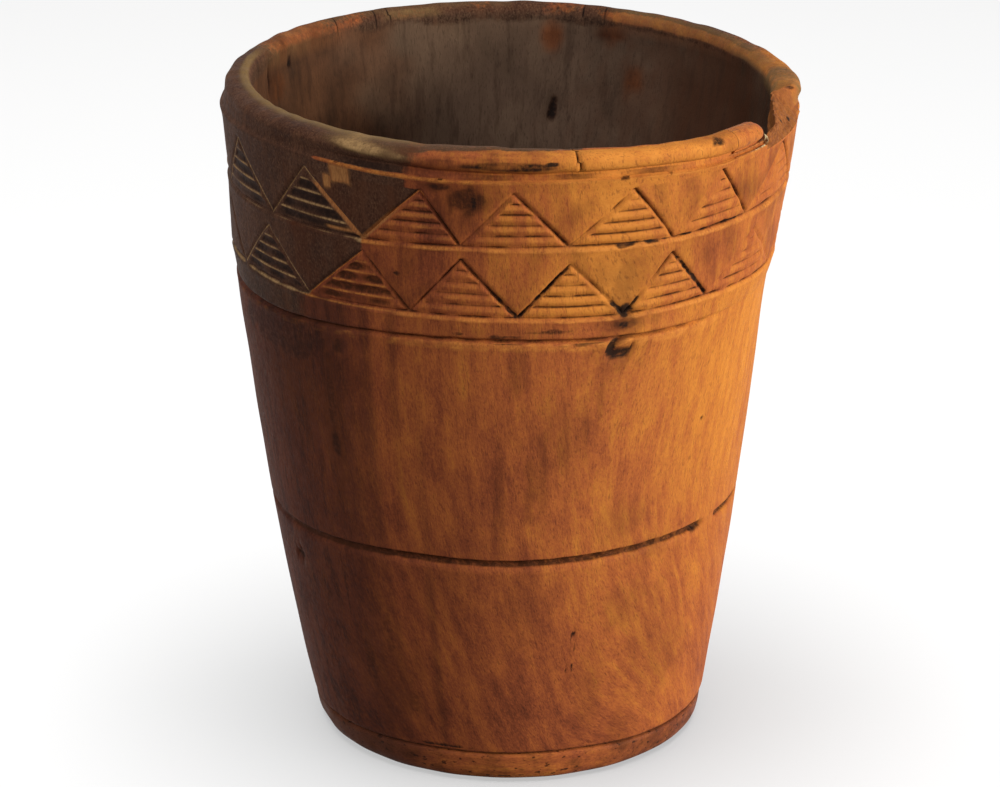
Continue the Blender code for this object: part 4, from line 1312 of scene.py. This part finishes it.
# Dirt darkens the crack at the left end, on the top and the roll but not in the cove.
CLEAN_RINGS = 6
fragment_dirt = np.zeros((FRAGMENT_STEPS, ring_size))
fragment_dirt[0, LIP_RINGS:-CLEAN_RINGS] = 0.8
# The mended piece gets the same pale tone and painted light as the roll beside it, less towards its free end.
fragment_pale_and_lit = straight(fragment_angles, (MEND_START, 0.56), (MEND_END, 0.4))
store(fragment, dirt=fragment_dirt, sunned=np.repeat(fragment_pale_and_lit, ring_size))
fragment.data.materials.append(mended_wood())
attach(fragment, "root")
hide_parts("rim_fragment")
print("finish on", fragment.name)

# %% [markdown]
# ## The set glue
# The glue that holds the mended piece squeezed out into a thin pale line along the ledge, fills
# the cove under the piece and set as a lump in the corner beside the scar. Each is an uneven bead
# along a path, and a few sine waves are enough to make it look squeezed.

# %% Glue line and lump
LINE_STEPS, FILL_STEPS, LUMP_STEPS = 40, 30, 15
LINE_SIDES, LUMP_SIDES = 10, 12
LUMP_ANGLE, LUMP_RADIUS, LUMP_HEIGHT = 58.6, 69.0, 166.6
glue_points, glue_faces = [], []


def add_bead(path, sides):
    """A closed bead along a path of (angle, radius, height, thickness)."""
    glue_faces.extend(tube_faces(len(path), sides, len(glue_points)))
    for a, r, z, thick in path:
        for bow in 2 * math.pi * np.arange(sides) / sides:
            glue_points.append(rim_point(a, r + thick * math.cos(bow), z + thick * math.sin(bow)))


path = []
for i, a in enumerate(np.linspace(MEND_START + 0.1, MEND_END + 0.6, LINE_STEPS)):
    thick = 0.12 + 0.10 * abs(math.sin(i * 0.9 + 1)) * (0.3 + 0.7 * ease(50, 56, a))
    path.append((a, at_rim(a, edge_radius) - 0.12 + 0.05 * math.sin(i * 1.7),
                 at_rim(a, ledge) + 0.14 + 0.05 * math.sin(i * 2.3), thick))
add_bead(path, LINE_SIDES)
path = []
for i, a in enumerate(np.linspace(roll_end - 0.9, MEND_END + 1.2, FILL_STEPS)):
    thick = 0.08 + 0.22 * ease(0, 3, i) + 0.03 * math.sin(i * 1.3)
    path.append((a, at_rim(a, cove_radius) + 0.1 + 0.02 * math.sin(i * 2.1),
                 at_rim(a, seat_level) + 0.08, thick))
add_bead(path, LINE_SIDES)
path = []
for s in np.linspace(0, 1, LUMP_STEPS):
    swell = math.sin(math.pi * (0.08 + 0.78 * s)) ** 0.6
    path.append((LUMP_ANGLE - 0.1 * s + 0.25 * math.sin(s * 9), LUMP_RADIUS + 2.3 * s,
                 LUMP_HEIGHT - 2.8 * s + 0.2 * math.sin(s * 11),
                 0.25 + 0.95 * swell * (0.85 + 0.2 * math.sin(s * 17))))
add_bead(path, LUMP_SIDES)
glue = skin_object("glue_line", glue_points, glue_faces)
print("glue faces:", len(glue.data.polygons))


# %% Set glue
def set_glue():
    """Pale dull glue with dirt in its dips."""
    recipe = Recipe("set_glue")
    ramp = recipe.ramp
    cloud = recipe.cloud(900, 3, 0.6)
    pale = ramp(cloud, (0.30, (0.20, 0.115, 0.050)), (0.44, (0.40, 0.290, 0.160)),
                (0.64, (0.58, 0.480, 0.300)))
    soiled = ramp(cloud, (0.34, (0.24, 0.080, 0.026)), (0.62, (0.48, 0.170, 0.048)))
    clean = recipe.times(recipe.reading("clean"), ramp(cloud, (0.40, 0.3), (0.56, 1)))
    rough = ramp(cloud, (0.3, 0.75), (0.7, 0.55))
    return recipe.finished(recipe.mix(clean, soiled, pale), rough, recipe.relief(cloud, 0.6, 0.0008), 0.1)


line_clean = np.repeat(ease(51.5, 57, np.linspace(MEND_START, MEND_END, LINE_STEPS)), LINE_SIDES)
fill_clean = np.zeros(FILL_STEPS * LINE_SIDES)
lump_clean = np.ones(LUMP_STEPS * LUMP_SIDES)
store(glue, clean=np.concatenate([line_clean, fill_clean, lump_clean]))
glue.data.materials.append(set_glue())
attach(glue, "root")
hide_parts("rim_glue")
print("finish on", glue.name)

# %% [markdown]
# ## Floor and light
# The beaker stands on a plain white floor. Seen by the camera the floor is almost white by
# itself, so it can run into a white background without any more light on the wood, and it still
# takes the soft shadow. One large soft lamp at the right models the form, as in the picture, and
# a weak even light fills the shadows.

# %% White floor and world
FLOOR_HALF = 4.0
FLOOR_DROP = 0.0002
floor_mesh = bpy.data.meshes.new("floor")
corner_signs = ((-1, -1), (1, -1), (1, 1), (-1, 1))
floor_corners = [(x * FLOOR_HALF, y * FLOOR_HALF, -FLOOR_DROP) for x, y in corner_signs]
floor_mesh.from_pydata(floor_corners, [], [(0, 1, 2, 3)])
floor = bpy.data.objects.new("floor", floor_mesh)
bpy.context.scene.collection.objects.link(floor)


def node_in(tree, kind, *sources, **values):
    """Add a node, link its first inputs to some outputs and set others by name."""
    node = tree.nodes.new("ShaderNode" + kind)
    for socket, source in zip(node.inputs, sources):
        tree.links.new(source, socket)
    for name, value in values.items():
        node.inputs[name].default_value = value
    return node.outputs[0] if node.outputs else node


def two_faced(tree, output, unseen, seen):
    """One shader for the light on its way, and one for rays from the camera, straight or mirrored."""
    rays = tree.nodes.new("ShaderNodeLightPath").outputs
    direct = rays["Is Camera Ray"]
    for kind in ("Is Glossy Ray", "Is Transmission Ray"):
        direct = node_in(tree, "Math", direct, rays[kind])
        direct.node.operation = "MAXIMUM"
    node_in(tree, output, node_in(tree, "MixShader", direct, unseen, seen))


def white_floor():
    """White where the camera looks at it, but a dim grey for the light that bounces off it."""
    material = bpy.data.materials.new("white_floor")
    material.use_nodes = True
    tree = material.node_tree
    tree.nodes.clear()
    dim = node_in(tree, "BsdfDiffuse", Color=(0.02, 0.02, 0.02, 1))
    shaded = node_in(tree, "BsdfDiffuse", Color=(0.20, 0.20, 0.20, 1))
    glow = node_in(tree, "Emission", Strength=0.49)
    two_faced(tree, "OutputMaterial", dim, node_in(tree, "AddShader", shaded, glow))
    return material


floor.data.materials.append(white_floor())
world = bpy.data.worlds.new("studio")
bpy.context.scene.world = world
world.use_nodes = True
sky = world.node_tree
sky.nodes.clear()
fill = node_in(sky, "Background", Color=(1, 0.97, 0.94, 1), Strength=0.07)
white = node_in(sky, "Background", Color=(1, 1, 1, 1), Strength=1)
two_faced(sky, "OutputWorld", fill, white)
print("floor and world ready")

# %% Lamps
LAMPS_AIM = Vector((0.0, 0.0, 0.09))


def soft_lamp(name, side_deg, up_deg, distance, size, power, colour):
    """A square soft lamp at an angle from the front and above the floor, aimed at the beaker."""
    data = bpy.data.lights.new(name, "AREA")
    data.size = size
    data.energy = power
    data.color = colour
    lamp = bpy.data.objects.new(name, data)
    bpy.context.scene.collection.objects.link(lamp)
    a, e = math.radians(side_deg), math.radians(up_deg)
    towards = Vector((math.sin(a) * math.cos(e), -math.cos(a) * math.cos(e), math.sin(e)))
    lamp.location = LAMPS_AIM + towards * distance
    lamp.rotation_euler = towards.to_track_quat("Z", "Y").to_euler()
    return lamp


key = soft_lamp("key", 72.0, 6.0, 1.5, 0.7, 36.0, (1.0, 0.95, 0.80))
fill_lamp = soft_lamp("fill", -35.0, 30.0, 1.8, 0.8, 13.0, (1.0, 0.97, 0.94))
soft_lamp("overhead", 0.0, 89.0, 1.6, 0.7, 9.0, (1.0, 0.98, 0.96))
floor_lamp = soft_lamp("floor_light", 0.0, 89.0, 1.6, 1.3, 85.0, (1.0, 1.0, 1.0))


def shines_only_on(lamp, pieces):
    """Let a lamp light some pieces and pass by the rest."""
    lit = bpy.data.collections.new("lit_by_" + lamp.name)
    for piece in pieces:
        lit.objects.link(piece)
    lamp.light_linking.receiver_collection = lit


for lamp in (key, fill_lamp):
    shines_only_on(lamp, (wall, base, pitch, fragment, glue))
shines_only_on(floor_lamp, (floor,))
bpy.context.scene.view_settings.view_transform = "Standard"
